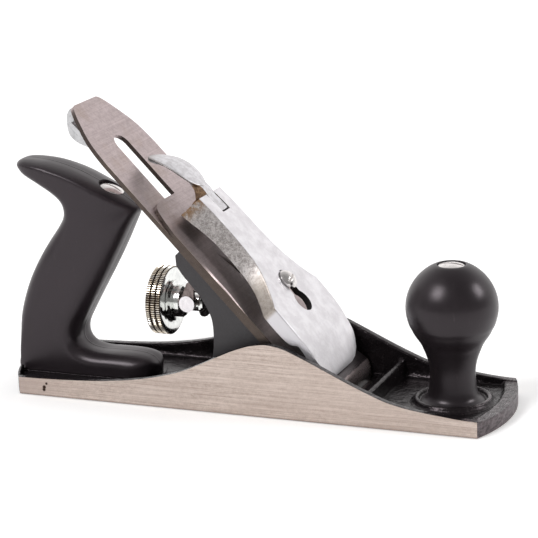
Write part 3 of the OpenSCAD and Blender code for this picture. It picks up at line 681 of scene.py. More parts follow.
def mat_frog(name):
    """Charcoal satin paint on the frog casting."""
    k = Nodes(name)
    v = k.scaled((1, 1, 1))
    big = k.noise(v, 0.08, 4)
    mid = k.noise(v, 0.9, 5, 0.6)
    col = k.mix(big, (0.022, 0.0195, 0.0215), (0.035, 0.031, 0.034))
    worn = k.range(k.noise(v, 0.5, 6, 0.7), 0.62, 0.74)
    col = k.mix(k.math("MULTIPLY", worn, 0.3), col, (0.11, 0.095, 0.09))
    rough = k.range(mid, 0.3, 0.7, 0.40, 0.52)
    n = k.bump(mid, 0.35, 0.35)
    return k.done(col, rough, 0.0, n)


BLACK = mat_black_paint("black_casting_paint")
GROUND = mat_ground("ground_iron")
PLASTIC = mat_plastic("black_plastic", seam=True)
PLASTIC_KNOB = mat_plastic("black_plastic_knob")
IRON = mat_iron("iron_steel")
CAPIRON = mat_iron("cap_iron_steel", 0.93, True)
SILVER = mat_lever_cap("lever_cap_plate")
CHROME = mat_plate("nickel_plate", (0.80, 0.81, 0.79), 0.07, 0.10)
WHEEL = mat_wheel("knurled_plate")
SCREW = mat_plate("bright_screw", (0.76, 0.73, 0.72), 0.13, 0.12)
THUMB = mat_thumb("cam_plate")
FORK = mat_fork("fork_steel")
STEEL = mat_steel("plain_steel")
TAB = mat_steel("lever_steel", (0.55, 0.55, 0.56), 0.30)
FROG = mat_frog("frog_paint")

# ------------------------------------------------------------------ casting

HW = 31.0
SIDE = 110.0
TOE_R = (HW * HW + 6.8 * 6.8) / (2 * 6.8)
HEEL_R = (HW * HW + 100.0) / 20.0
cheek = curve([(-126, 7.7), (-107, 7.95), (-90, 8.4), (-70, 9.5), (-50, 12.0), (-30, 16.9), (-20, 21),
               (-10, 25.9), (0, 30.4), (8, 32.9), (14, 33.6), (20, 32.8), (30, 29.1), (40, 24.6), (50, 20),
               (60, 15.7), (70, 12), (80, 9.9), (90, 8.7), (106, 7.3), (126, 6.9)])
FLOOR = 4.8


def plan_x(u, y):
    """Stations near the ends bend to follow the rounded toe and heel."""
    y = min(abs(y), HW)
    toe = 116.77 - TOE_R + math.sqrt(TOE_R ** 2 - y * y) - SIDE
    heel = 119.97 - HEEL_R + math.sqrt(HEEL_R ** 2 - y * y) - SIDE
    return u + toe * ramp(u, 72, 110) - heel * ramp(-u, 72, 110)


def casting():
    floor_z = curve([(-110, FLOOR), (102.6, FLOOR), (103.4, 5.3), (104.2, 6.25), (105.2, 6.62), (110, 6.66)])
    us = [-110, -109.2]
    us += [-108 + 2 * i for i in range(int((102 + 108) / 2) + 1)]
    us += [102.6, 103, 103.4, 103.8, 104.2, 104.7, 105.2, 106.5, 108, 109.2, 110]
    us += [35.4, 40.0, 46.9]
    us = sorted(set(us))
    ys_floor = [0, 3, 6, 9, 12, 15, 18, 21, 23.5]
    rows = []
    for u in us:
        h = cheek(u)
        zf = min(floor_z(u), h - 0.3)
        tight = 1 - ramp(abs(u - 41), 9, 13)
        f = 1.5 - 1.42 * tight
        d = h - zf
        top = min(1.0, 0.3 * d)
        half = [(y, 0.0) for y in ys_floor] + [(26.9, 0.0), (HW, 0.0)]
        half += [(HW, h), (HW - 0.5 * 1, h + 0.0), (28.1, h), (27.45, h - 0.25 * top), (27.1, h - top)]
        half += [(26.98, zf + min(2.2 * f, 0.45 * d)), (26.9 - 0.25 * f, zf + min(0.55 * f, 0.12 * d)), (26.9 - f, zf)]
        half += [(min(y, 26.9 - f - 0.1), zf) for y in reversed(ys_floor)]
        rows.append((u, half))
    nb = len(ys_floor)          # index of the bottom point at y = 26.9
    n = len(rows[0][1])
    # right side is half reversed and mirrored, the two centre points are shared
    verts, idx = [], []
    index = {}

    def vid(i, j, side):
        if j in (0, n - 1):
            side = 1
        key = (i, j, side)
        if key not in index:
            u, half = rows[i]
            y, z = half[j]
            index[key] = len(verts)
            verts.append((plan_x(u, y), y * side, z))
        return index[key]

    iu = {round(u, 3): i for i, (u, _) in enumerate(rows)}
    b0, b1, t0 = iu[40.0], iu[46.9], iu[35.4]
    jt = n - 1 - len(ys_floor)   # index of the top floor point next to the wall
    faces, mat = [], []
    for side in (1, -1):
        for i in range(len(rows) - 1):
            for j in range(n - 1):
                if j < nb and b0 <= i < b1:
                    continue
                if j >= jt and t0 <= i < b1:
                    continue
                q = (vid(i, j, side), vid(i + 1, j, side), vid(i + 1, j + 1, side), vid(i, j + 1, side))
                faces.append(q if side == 1 else q[::-1])
                mat.append(0 if j <= nb + 1 else 1)
        # walls of the mouth
        for j in range(nb):
            k = n - 1 - j
            kk = k - 1
            for (bi, ti) in ((b0, t0), (b1, b1)):
                q = (vid(bi, j, side), vid(bi, j + 1, side), vid(ti, kk, side), vid(ti, k, side))
                faces.append(q)
                mat.append(1)
        lo = [vid(i, nb, side) for i in range(b0, b1 + 1)]
        hi = [vid(i, jt, side) for i in range(t0, b1 + 1)]
        faces.append(tuple(lo + hi[::-1]))
        mat.append(1)
        # end walls
        for i in (0, len(rows) - 1):
            low = [(rows[i][1][j][0], vid(i, j, side)) for j in range(nb + 2)]
            up = [(rows[i][1][j][0], vid(i, j, side)) for j in range(n - 1, nb + 1, -1)]
            a = b = 0
            while a < len(low) - 1 or b < len(up) - 1:
                if b == len(up) - 1 or (a < len(low) - 1 and low[a + 1][0] <= up[b + 1][0]):
                    faces.append((low[a][1], low[a + 1][1], up[b][1]))
                    a += 1
                else:
                    faces.append((low[a][1], up[b + 1][1], up[b][1]))
                    b += 1
                mat.append(1)
    body = make("casting_body", verts, faces, [GROUND, BLACK], mat)
    bevel(body, 0.35, 2, 50)
    bake(body)

    bits = []
    # knob seat: a rounded ring with a well
    ring = [(1.0, 0), (5.3, 0), (5.3, 12.0), (5.32, 14.2), (5.5, 14.75), (5.9, 15.0), (6.5, 15.1), (6.95, 15.35), (7.22, 15.75),
            (7.3, 16.2), (7.2, 16.65), (6.9, 17.0), (6.45, 17.25), (5.9, 17.45), (5.35, 17.9), (4.95, 18.6), (4.7, 19.4), (1.0, 19.4)]
    bits.append(lathe("ring", ring, (89.9, 0, 0), (0, 0, 1), [BLACK], 96))
    # cross rib, spread where it meets the cheeks
    prof = [(-2.1, FLOOR - 0.6), (-1.75, FLOOR + 0.25), (-1.5, 6.2), (-1.25, 10.9), (-1.05, 11.9), (-0.55, 12.35),
            (0.0, 12.45), (0.55, 12.35), (1.05, 11.9), (1.25, 10.9), (1.5, 6.2), (1.75, FLOOR + 0.25), (2.1, FLOOR - 0.6)]
    rv, rf = [], []
    stations = [-27.4, -26.6, -25.6, -24, -20, -10, 0, 10, 20, 24, 25.6, 26.6, 27.4]
    for y in stations:
        w = 1 + 0.55 * ramp(abs(y), 24.0, 27.3)
        rise = 1.2 * ramp(abs(y), 24.0, 27.3)
        for px, pz in prof:
            rv.append((57.1 + px * w, y, pz + (rise if pz > 8 else 0)))
    m = len(prof)
    for a in range(len(stations) - 1):
        for b in range(m - 1):
            rf.append((a * m + b, a * m + b + 1, (a + 1) * m + b + 1, (a + 1) * m + b))
    rf.append(tuple(range(m)))
    rf.append(tuple(range((len(stations) - 1) * m, len(stations) * m)))
    bits.append(make("rib", rv, rf, [BLACK]))
    # tote seat
    pad = []
    for a in range(-90, 91, 6):
        pad.append((-63.4 + 13.4 * math.cos(math.radians(a)), 13.4 * math.sin(math.radians(a))))
    pad += [(plan_x(-110, y) + 0.5, y) for y in (13.4, 10, 6, 2, -2, -6, -10, -13.4)]
    seat = prism("seat", [(x, y, 3.0) for x, y in pad], [(x, y, 5.3) for x, y in pad], [BLACK])
    bevel(seat, 0.25, 3, 40)
    bits.append(bake(seat))
    # frog seat with its machined top
    seat = prism_y("frog_seat", [(-21, 3), (-21, 9), (31.2, 9), (37, 3.0)], -22.4, 22.4, [BLACK], inbed=False)
    bevel(seat, 0.5, 2, 40)
    bits.append(bake(seat))
    # low strengthening edges of the heel
    for sgn in (1, -1):
        o = []
        for y in (13.2, 15, 17, 20, 23, 26.9):
            o.append((plan_x(-110, y) + 0.05, y * sgn))
        for y in (26.9, 23, 20, 17, 15, 13.2):
            o.append((plan_x(-110, y) + 1.7, y * sgn))
        e = prism("heel", [(x, y, 3.0) for x, y in o], [(x, y, 7.9) for x, y in o], [BLACK])
        bevel(e, 0.5, 2, 40)
        bits.append(bake(e))
    return join("body_casting_form", [body] + bits)


cast = casting()
sharp(cast, 45)
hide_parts("body_casting")
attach(cast, "stock")

# --------------------------------------------------------------------- tote

TOTE = [(-119.0, 101.9, 0.42), (-117.3, 104.4, 0.36), (-113.2, 105.3, 0.28), (-104.5, 104.7, 0.24),
        (-98, 103.5, 0.24), (-92, 101.9, 0.24), (-86, 99.8, 0.24), (-79.5, 96.9, 0.24), (-72, 93.3, 0.24),
        (-66.2, 89.9, 0.20), (-61.4, 86.7, 0.14), (-58.2, 83.9, 0.10), (-59.3, 81.2, 0.35), (-62.7, 75.0, 0.85),
        (-67.4, 65.9, 1.2), (-74.3, 53.4, 1.35), (-80.2, 43.3, 1.35), (-86.0, 33.2, 1.25), (-90.0, 25.6, 1.05),
        (-90.3, 20.2, 0.95), (-87.4, 16.8, 0.9), (-81.3, 15.2, 0.85), (-72, 15.2, 0.85), (-62.6, 15.1, 1.0),
        (-56.4, 14.0, 1.15), (-52.9, 11.6, 0.9), (-51.5, 8.4, 0.25), (-51.8, 5.3, 0), (-64, 5.3, 0),
        (-78, 5.3, 0), (-92, 5.3, 0), (-106, 5.3, 0), (-119.2, 5.3, 0), (-119.9, 10.5, 0.1),
        (-119.93, 20.2, 0.45), (-119.6, 30.3, 0.9), (-117.0, 40.4, 1.1), (-112.8, 50.6, 1.15), (-107.1, 60.7, 1.18),
        (-102.0, 68.2, 1.15), (-96.3, 75.9, 0.95), (-94.0, 80.9, 0.85), (-94.8, 85.9, 0.72), (-99.4, 90.1, 0.6),
        (-107.4, 94.6, 0.5), (-114.6, 98.0, 0.42)]


def tote_plan(x, z):
    f = max(0.02, 1 - min(1, abs(x + 89.0) / 31.0) ** 2.8)
    return 1 - min(1, max(0, (z - 60) / 24)) * (1 - f ** 0.42)


def tote_place(px, pz, y):
    """Depth of a point of the tote: rounded horn, nose, foot and heel in plan."""
    yy = y * tote_plan(px, pz)
    if pz < 30:
        low = 1 - ramp(pz, 19, 27)
        if px > -64.4:
            lim = math.sqrt(max(0.0, 1 - ((px + 64.4) / 12.95) ** 2)) * 12.2
            yy = math.copysign(min(abs(yy), lim), yy) * low + yy * (1 - low)
        if px < -114:
            lim = 12.2 - 1.6 * (1 - math.sqrt(max(0.0, 1 - ((-114 - px) / 6.6) ** 2)))
            yy = math.copysign(min(abs(yy), lim), yy) * low + yy * (1 - low)
    return yy


def tote():
    out = smooth(TOTE, 3, True)
    m = len(out)
    r, t = 8.0, 12.2
    qs = [0, 0.2, 0.5, 1.0, 1.7, 2.6, 3.8, 5.4, 8]
    rings, flat = [], []
    for sgn, seq in ((-1, qs), (1, qs[::-1])):
        for q in seq:
            ins = (r - math.sqrt(r * r - (r - q) ** 2)) * 0.8
            y = sgn * (t - q)
            row = []
            for i, (x, z, f) in enumerate(out):
                a, b = out[i - 1], out[(i + 1) % m]
                ux, uz = b[0] - a[0], b[1] - a[1]
                e = max(math.hypot(ux, uz), 1e-6)
                k = ins * max(f, 0) / e
                px, pz = max(x + uz * k, -119.95), z - ux * k
                yy = tote_place(px, pz, y)
                crest = ramp(ux / e, 0.35, 0.8) * ramp(z, 84, 88)
                pz -= 1.1 * crest * (yy / 12.2) ** 2
                row.append((px, yy, max(pz, 5.3)))
            rings.append(row)
    verts = [p for row in rings for p in row]
    faces = []
    for j in range(len(rings) - 1):
        for i in range(m):
            a, b = j * m + i, j * m + (i + 1) % m
            faces.append((b, a, a + m, b + m))
    # the broad sides are filled with a net of points that follows their curve
    for row, sgn in ((rings[0], -1), (rings[-1], 1)):
        poly = [Vector((x, z)) for x, _, z in row]
        inner = []
        for i in range(34):
            for j in range(52):
                x, z = -121 + 2.0 * i + (j % 2), 6.4 + 1.9 * j
                inside, near = False, 1e9
                for k in range(m):
                    c, d = poly[k - 1], poly[k]
                    if (c.y > z) != (d.y > z) and x < (d.x - c.x) * (z - c.y) / (d.y - c.y) + c.x:
                        inside = not inside
                    near = min(near, (c.x - x) ** 2 + (c.y - z) ** 2)
                if inside and near > 1.0:
                    inner.append(Vector((x, z)))
        co, _, tri, _, _, _ = delaunay_2d_cdt(poly + inner, [], [list(range(m))], 1, 1e-5)
        base = len(verts)
        for k, v in enumerate(co):
            if k < m:
                verts.append(row[k])
            else:
                verts.append((v.x, tote_place(v.x, v.y, sgn * t), v.y))
        faces += [tuple(base + i for i in f) for f in tri]
    ob = make("tote_form", verts, faces, [PLASTIC])
    bm = bmesh.new()
    bm.from_mesh(ob.data)
    bmesh.ops.remove_doubles(bm, verts=bm.verts, dist=0.002 * MM)
    bmesh.ops.recalc_face_normals(bm, faces=bm.faces)
    bm.to_mesh(ob.data)
    bm.free()
    w = ob.modifiers.new("re", "REMESH")
    w.mode = "VOXEL"
    w.voxel_size = 0.7 * MM
    w.use_smooth_shade = True
    sm = ob.modifiers.new("sm", "SMOOTH")
    sm.factor = 0.5
    sm.iterations = 6
    bake(ob)
    # keep the bottom flat and nothing below the seat
    for v in ob.data.vertices:
        if v.co.z < 5.65 * MM:
            v.co.z = 5.3 * MM
    lean = math.radians(19.26)
    ax = (math.sin(lean), 0, math.cos(lean))
    rec = lathe("rec", [(90.8, 0), (90.8, 6.15), (91.4, 6.3), (96.2, 6.32), (110, 6.32), (110, 0)], (-103.2, 0, 4), ax, [PLASTIC], 64)
    cut(ob, [rec])
    if not ob.data.materials:
        ob.data.materials.append(PLASTIC)
    for p in ob.data.polygons:
        p.use_smooth = True
        p.material_index = 0
    sharp(ob, 55)
    return ob


tt = tote()
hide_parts("tote")
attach(tt, "stock")

# --------------------------------------------------------------------- knob

KNOB = [(5.3, 14.3), (5.6, 14.3), (6.0, 13.6), (6.7, 12.5), (7.7, 11.6), (9.3, 10.95), (12.4, 10.35), (18.2, 10.05),
        (22.5, 10.5), (26.5, 11.6), (29.4, 12.75), (31.2, 13.5), (33, 14.5), (34.8, 15.75), (36.6, 16.9), (38.5, 17.85),
        (40.3, 18.8), (42.1, 19.4), (43.9, 19.85), (45.8, 20.2), (47.6, 20.33), (49.4, 20.3), (51.3, 20.1),
        (53.1, 19.7), (54.9, 19.15), (56.7, 18.4), (58.5, 17.45), (60.3, 16.25), (62.2, 14.7), (64, 12.8),
        (65.6, 10.7), (66.8, 8.6), (67.3, 7.3), (67.5, 6.6), (67.4, 6.3), (66.9, 6.15), (63.7, 6.15), (63.6, 0)]
prof = [(5.3, 0)] + smooth(KNOB[:-5], 3) + KNOB[-5:]
kn = lathe("knob_form", prof, (89.9, 0, 0), (0, 0, 1), [PLASTIC_KNOB], 144)
sharp(kn, 50)
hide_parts("knob")
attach(kn, "stock")

# --------------------------------------------------------- iron and cap iron


def plane_iron():
    h = 25.4
    edge = smooth([(149, h), (156, h - 0.7), (163, h - 2.3), (169.5, h - 5.4), (175.3, h - 8.6), (179.2, h - 11.4),
                   (180.8, h - 13.2), (181.3, h - 14.8)], 3)
    half = [(-1.6, h), (20, h), (80, h)] + edge
    full = half + [(s, -y) for s, y in reversed(half)]
    bottom = [bed(max(s, 2.7), y, 0.0) for s, y in full]
    top = [bed(s, y, 2.0) for s, y in full]
    ob = prism("plane_iron_form", bottom, top, [IRON])
    slot = prism_n("slot", stadium(50, 154.6, 5.5, 24), -1, 3, [IRON])
    hole = prism_n("hole", circle(50, 0, 7.8, 64), -1, 3, [IRON])
    cut(ob, [slot, hole])
    bevel(ob, 0.22, 3, 40)
    bake(ob)
    return ob


def cap_iron():
    pairs = [(-0.1, 2.1, 1.6, 2.0), (0.7, 3.4, 2.6, 2.4), (2.3, 5.6, 4.1, 4.2), (4.7, 7.5, 5.8, 5.6), (8, 8.95, 8.4, 6.5),
             (11, 8.8, 11.2, 6.5), (15, 7.7, 15.6, 5.4), (20, 5.7, 20.4, 3.6), (26, 4.25, 26, 2.2), (32, 4, 32, 2)]
    rows = smooth(pairs, 4)
    rows += [(s, 4, s, 2) for s in (50, 70, 90, 104, 106, 108, 110, 112, 114, 116, 118, 119.5, 120.6, 121.4, 122, 122.4, 122.6)]
    width = curve([(0, 25.4), (104, 25.4), (108, 25.0), (112, 24.2), (115.6, 23.3), (118.4, 22.3), (120.6, 20.8),
                   (121.8, 18.6), (122.4, 15.4), (122.6, 12.4)])
    crown = curve([(0, 0), (118, 0), (122.6, 0.0)])
    cols = [-1, -0.9, -0.6, -0.3, 0, 0.3, 0.6, 0.9, 1]
    verts, faces = [], []
    for st, nt, sb, nb in rows:
        w = width(st)
        for c in cols:
            verts.append(bed(st - crown(st) * c * c, w * c, nt))
        for c in cols:
            verts.append(bed(sb, w * c, nb))
    k = len(cols)
    for i in range(len(rows) - 1):
        a, b = i * 2 * k, (i + 1) * 2 * k
        for c in range(k - 1):
            faces.append((a + c, a + c + 1, b + c + 1, b + c))
            faces.append((a + k + c, b + k + c, b + k + c + 1, a + k + c + 1))
        faces.append((a, b, b + k, a + k))
        faces.append((a + k - 1, a + 2 * k - 1, b + 2 * k - 1, b + k - 1))
    for i in (0, len(rows) - 1):
        a = i * 2 * k
        for c in range(k - 1):
            faces.append((a + c, a + k + c, a + k + c + 1, a + c + 1))
    ob = make("cap_iron_form", verts, faces, [CAPIRON])
    window = prism_n("w", [(75.35, -3.4), (79.25, -3.4), (79.25, 3.4), (75.35, 3.4)], 1, 6, [CAPIRON])
    hole = prism_n("h", circle(108, 0, 3.95, 48), 1, 6, [CAPIRON])
    slot = prism_n("s", stadium(52.6, 62, 5.6, 20), 1, 6, [CAPIRON])
    cut(ob, [window, hole, slot])
    bevel(ob, 0.2, 3, 42)
    bake(ob)
    return ob


pi = plane_iron()
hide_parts("plane_iron")
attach(pi, "iron_set")
ci = cap_iron()
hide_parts("cap_iron")
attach(ci, "iron_set")

# ---------------------------------------------------------------- lever cap

cap_n = curve([(12, 10), (13.5, 10.9), (16, 11.9), (20, 13.2), (26, 15), (33, 16.2), (42, 16.9), (51, 17.2),
               (58, 17.7), (66, 18.4), (76, 18.8), (90, 18.9), (102, 18.8), (111.2, 18.2)])
cap_w = curve([(12.05, 24.5), (24, 25.0), (34, 25.9), (46, 26.35), (52, 26.25), (53.2, 25.1), (55.5, 23.1), (58, 21.3),
               (61, 19.4), (64, 17.6), (68, 15.6), (73, 13.8), (80, 12.7), (88, 12.15), (111.2, 12.0)])
cap_wb = curve([(12.05, 24.4), (34, 25.9), (46, 26.3), (52, 26.3), (53.2, 25.5), (56, 23.6), (60, 21.0), (64, 18.9),
                (68, 17.4), (74, 16.0), (80, 15.4), (88, 15.2), (100, 15.6), (111.2, 16.2)])
cap_nb = curve([(12, 9.2), (20, 9.9), (26, 11.15), (30, 11.5), (33, 11.0), (36, 10.1), (39, 9.6), (45, 9.6), (52, 9.9),
                (58, 10.5), (64, 10.85), (91, 10.7), (99, 9.9), (106, 8.6), (111.2, 7.9)])
cap_ni = curve([(12.4, 9.2), (16, 9.2), (20, 9.9), (26, 11.2), (33, 12.6), (42, 13.6), (50, 14.2), (60, 14.8), (111.2, 15.6)])


def lip(y):
    y = min(max(0.0, abs(y) - 9.0) / 16.2, 0.985)
    return 17.0 * (1 - math.sqrt(1 - y * y))


def lever_cap():
    us = [12.05, 12.5, 13.2, 14.2, 15.5, 17, 19, 21, 23.5, 26, 28, 30, 32, 34, 36, 38, 41, 44, 47, 49.5, 51, 51.7, 52, 52.35,
          52.9, 53.6, 54.5, 55.5, 56.6, 57.8, 59.2, 60.6, 62, 63.5, 65, 67, 69, 71, 73, 75.5, 78, 81, 84, 88, 92, 96, 99, 102,
          105, 108, 110, 111.2]
    verts = []
    n = None
    for u in us:
        k = 1 - min(1.0, (u - 12.05) / 23.0)
        wt, wb = cap_w(u), cap_wb(u)
        thin = ramp(u, 27, 36)
        tw = 2.9
        pts = []
        for y in [wt * c for c in (0, 0.2, 0.4, 0.6, 0.78, 0.9)] + [wt - 1.0]:
            pts.append((y, "t", 0))
        pts += [(wt - 0.45, "t", -0.05), (wt - 0.12, "t", -0.25), (wt + 0.02, "t", -0.7)]
        pts += [(wt * 0.5 + wb * 0.5 + 0.05, "m", 0), (wb, "b", 0.5), (wb - 0.12, "b", 0.15), (wb - 0.5, "b", 0)]
        pts += [(wb - tw + 0.4, "b", 0), (wb - tw, "b", 0.4)]
        inner = min(wb - tw, wt - 1.2) - 0.9 * thin
        pts += [(inner, "i", 0), (inner * 0.66, "i", 0), (inner * 0.33, "i", 0), (0, "i", 0)]
        n = len(pts)
        for side in (1, -1):
            for y, kind, dn in pts:
                s = u + k * lip(y)
                s = min(s, 111.2)
                nt, nb, ni = cap_n(s), cap_nb(s), cap_ni(s)
                nb = nb * thin + ni * (1 - thin)
                if kind == "t":
                    v = nt + dn
                elif kind == "b":
                    v = nb + dn
                elif kind == "m":
                    v = (nt + nb) / 2
                else:
                    v = ni + 0.02
                verts.append(bed(s, y * side, v))
    faces = []
    for i in range(len(us) - 1):
        for side in (0, 1):
            a, b = (2 * i + side) * n, (2 * i + 2 + side) * n
            for j in range(n - 1):
                faces.append((a + j, a + j + 1, b + j + 1, b + j))
    for i in (0, len(us) - 1):
        for side in (0, 1):
            a = (2 * i + side) * n
            # cap of the section: pair the top row with the under row
            top = list(range(0, 10))
            under = list(range(n - 1, 9, -1))
            p, q = 0, 0
            ya = [abs(verts[a + j][1]) for j in range(n)]
            while p < len(top) - 1 or q < len(under) - 1:
                if q == len(under) - 1 or (p < len(top) - 1 and ya[top[p + 1]] <= ya[under[q + 1]] + 1e-6):
                    faces.append((a + top[p], a + top[p + 1], a + under[q]))
                    p += 1
                else:
                    faces.append((a + top[p], a + under[q + 1], a + under[q]))
                    q += 1
    ob = make("lever_cap_form", verts, faces, [SILVER])
    bm = bmesh.new()
    bm.from_mesh(ob.data)
    bmesh.ops.remove_doubles(bm, verts=bm.verts, dist=0.004 * MM)
    bmesh.ops.recalc_face_normals(bm, faces=bm.faces)
    bm.to_mesh(ob.data)
    bm.free()
    ears = [prism_n("ear", [(101.1, a), (110.9, a), (110.9, b), (101.1, b)], 9.6, 16.2, [SILVER])
            for a, b in ((3.7, 8.1), (-8.1, -3.7))]
    cut(ob, ears, "UNION")
    big = prism_n("big", circle(47.2, 0, 5.5, 64), 5, 30, [SILVER])
    neck = prism_n("neck", stadium(47.2, 58.6, 3.3, 20), 5, 30, [SILVER])
    seat = prism_n("seat", circle(58.6, 0, 5.5, 64), 17.75, 30, [SILVER])
    slot = prism_y("slot", [(112.5, 4), (98.9, 4), (98.9, 15.2), (100.4, 19.2), (100.4, 30), (112.5, 30)], -3.8, 3.8, [SILVER])
    pin = lathe("pin", [(-10, 0), (-10, 1.55), (10, 1.55), (10, 0)], bed(106.5, 0, 13.2), (0, 1, 0), [SILVER], 32)
    cut(ob, [big, neck, seat, slot, pin])
    bevel(ob, 0.16, 2, 50)
    bake(ob)
    sharp(ob, 50)
    return ob


lc = lever_cap()
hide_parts("lever_cap")
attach(lc, "clamp")

# ---------------------------------------------------------------- cam lever

cam_top = curve([(106.5, 17.4), (109.5, 18.2), (114, 18.8), (120, 18.5), (126, 17.9), (131.6, 16.2), (136.8, 13.1), (140.6, 10), (142.5, 7.75)])
cam_low = curve([(109, 9.4), (113, 12), (116.4, 14.6), (120, 15.2), (126, 14.6), (130.6, 13.1), (135.2, 10.7), (138.6, 8.3), (141.2, 7.0), (142.5, 7.6)])


def cam_lever():
    verts, faces = [], []
    us = [115.2, 115.4, 115.8, 116.4, 117.2, 118.3, 119.8, 121.6, 123.6, 126, 128.6, 131.2, 133.6, 135.8, 137.6,
          139.1, 140.3, 141.2, 141.8, 142.2, 142.42]
    n = None
    for u in us:
        d = max(0.0, 1 - ((u - 128.8) / 13.75) ** 2)
        w = 8.65 * math.sqrt(d)
        t, b = cam_top(u), cam_low(u)
        th = t - b
        e = min(0.55, th * 0.22)
        nar = 0.46 + 0.2 * ramp(u, 134, 142)
        crown = 0.85 * (w / 8.65) ** 2
        half = [(0, t), (w * 0.35, t - crown * 0.12), (w * 0.65, t - crown * 0.42), (w * 0.86, t - crown * 0.74), (w - e * 0.9, t - crown * 0.92),
                (w - e * 0.3, t - crown - e * 0.25), (w, t - crown - e * 0.8), (w - e * 0.15, t - crown - e * 1.3)]
        lo = t - crown - e * 1.3
        q = max(lo - b, 0.05)
        half += [(w * (0.97 - 0.3 * (1 - nar)), lo - q * 0.33), (w * (0.97 - 0.72 * (1 - nar)), lo - q * 0.68), (w * nar * 0.98, b + q * 0.07), (w * nar * 0.8, b), (0, b)]
        ring = half + [(-y, v) for y, v in reversed(half[1:-1])]
        n = len(ring)
        verts += [bed(u, y, v) for y, v in ring]
    for i in range(len(us) - 1):
        for j in range(n):
            faces.append((i * n + j, i * n + (j + 1) % n, (i + 1) * n + (j + 1) % n, (i + 1) * n + j))
    faces.append(tuple(range(n)))
    faces.append(tuple(range((len(us) - 1) * n, len(us) * n)))
    blade = make("blade", verts, faces, [THUMB])
    c = bed(106.5, 0, 13.2)
    e = bed(106.9, 0, 11.35)
    w = 3.45
    hub = lathe("hub", [(-w, 0), (-w, 5.0), (-w + 0.2, 5.2), (w - 0.2, 5.2), (w, 5.0), (w, 0)], c, (0, 1, 0), [THUMB], 64)
    ecc = lathe("ecc", [(-w, 0), (-w, 5.9), (-w + 0.2, 6.1), (w - 0.2, 6.1), (w, 5.9), (w, 0)], e, (0, 1, 0), [THUMB], 64)
    top = [(102, 13), (101.0, 17.6), (101.2, 18.2), (101.7, 18.55)] + [(u, cam_top(u)) for u in (109.5, 111, 112.5, 114)]
    top += [(u, cam_top(u) - 0.08 * (u - 114)) for u in (116, 118, 120)]
    low = [(u, cam_low(u) + 0.15) for u in (120, 118, 116.5, 114.8, 113, 111.5, 110)]
    stem = prism_y("stem", top + low, -w, w, [THUMB])
    for piece in (hub, ecc, stem):
        cut(piece, [lathe("pin", [(-5, 0), (-5, 1.55), (5, 1.55), (5, 0)], c, (0, 1, 0), [THUMB], 32)])
    bevel(stem, 0.2, 2, 45)
    bake(stem)
    ob = join("cam_lever_form", [hub, ecc, stem, blade])
    sharp(ob, 40)
    return ob


cl = cam_lever()
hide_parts("cam_lever")
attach(cl, "cam")

# -------------------------------------------------------------- depth wheel


def wheel():
    r = 15.8
    prof, knurl = [], []

    def add(h, rr, k=0):
        prof.append((h, rr))
        knurl.append(k)
    # back face with its recess, three knurled bands, polished front face
    add(-51.0, 5.06)
    add(-51.0, 8.2)
    add(-50.75, 8.5)
    add(-50.7, 12.6)
    add(-51.0, 13.0)
    add(-51.0, r - 0.9)
    for h0 in (-51.0, -48.4, -45.85):
        add(h0 + 0.02, r - 0.70, 0)
        add(h0 + 0.14, r - 0.25, 1)
        add(h0 + 0.34, r, 1)
        add(h0 + 1.9, r, 1)
        add(h0 + 2.1, r - 0.25, 1)
        add(h0 + 2.2, r - 0.70, 0)
        if h0 < -46:
            add(h0 + 2.3, r - 0.95)
            add(h0 + 2.5, r - 0.95)
    add(-43.62, r - 1.25)
    add(-43.6, r - 1.5)
    add(-43.62, 11.8)
    add(-43.75, 11.2)
    add(-43.75, 9.6)
    add(-43.6, 9.1)
    add(-43.6, 5.06)
    m = 92

    def wave(i, a):
        if i >= len(knurl) or not knurl[i]:
            return 1.0
        return 1.0 - 0.038 * ramp(0.5 - 0.5 * math.cos(a * m), 0.32, 0.78)
    n = m * 8
    ob = lathe("depth_wheel_form", prof + [prof[0]], (0, 0, 41.1), (1, 0, 0), [WHEEL], n, wave)
    sharp(ob, 38)
    return ob


wh = wheel()
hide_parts("depth_wheel")
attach(wh, "wheel")

# -------------------------------------------------- carried-over CAD pieces

carried = {
    "frog": FROG, "frog_screws": STEEL, "frog_washers": STEEL, "depth_stud": STEEL, "depth_hub": CHROME,
    "yoke_lever": FORK, "yoke_pin": STEEL, "lateral_lever": TAB, "lateral_rivet": STEEL, "lateral_disc": STEEL,
    "disc_rivet": STEEL, "cap_iron_screw": STEEL, "lever_cap_screw": SCREW, "cam_pin": STEEL,
    "lever_cap_spring": STEEL, "spring_rivet": STEEL, "tote_rod": STEEL, "tote_nut": SCREW, "knob_rod": STEEL,
    "knob_nut": SCREW,
}
rounding = {"frog": 0.7, "yoke_lever": 0.35, "lateral_lever": 0.3, "lever_cap_screw": 0.18, "tote_nut": 0.2,
            "knob_nut": 0.2, "cap_iron_screw": 0.2, "frog_screws": 0.2}
for name, material in carried.items():
    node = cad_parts[name]
    if not node.material_slots:
        node.data.materials.append(material)
    for sl in node.material_slots:
        sl.material = material
    if name in rounding:
        w = node.modifiers.new("weld", "WELD")
        w.merge_threshold = 0.002 * MM
        bevel(node, rounding[name], 2, 35)

# -------------------------------------------------------------------- stage


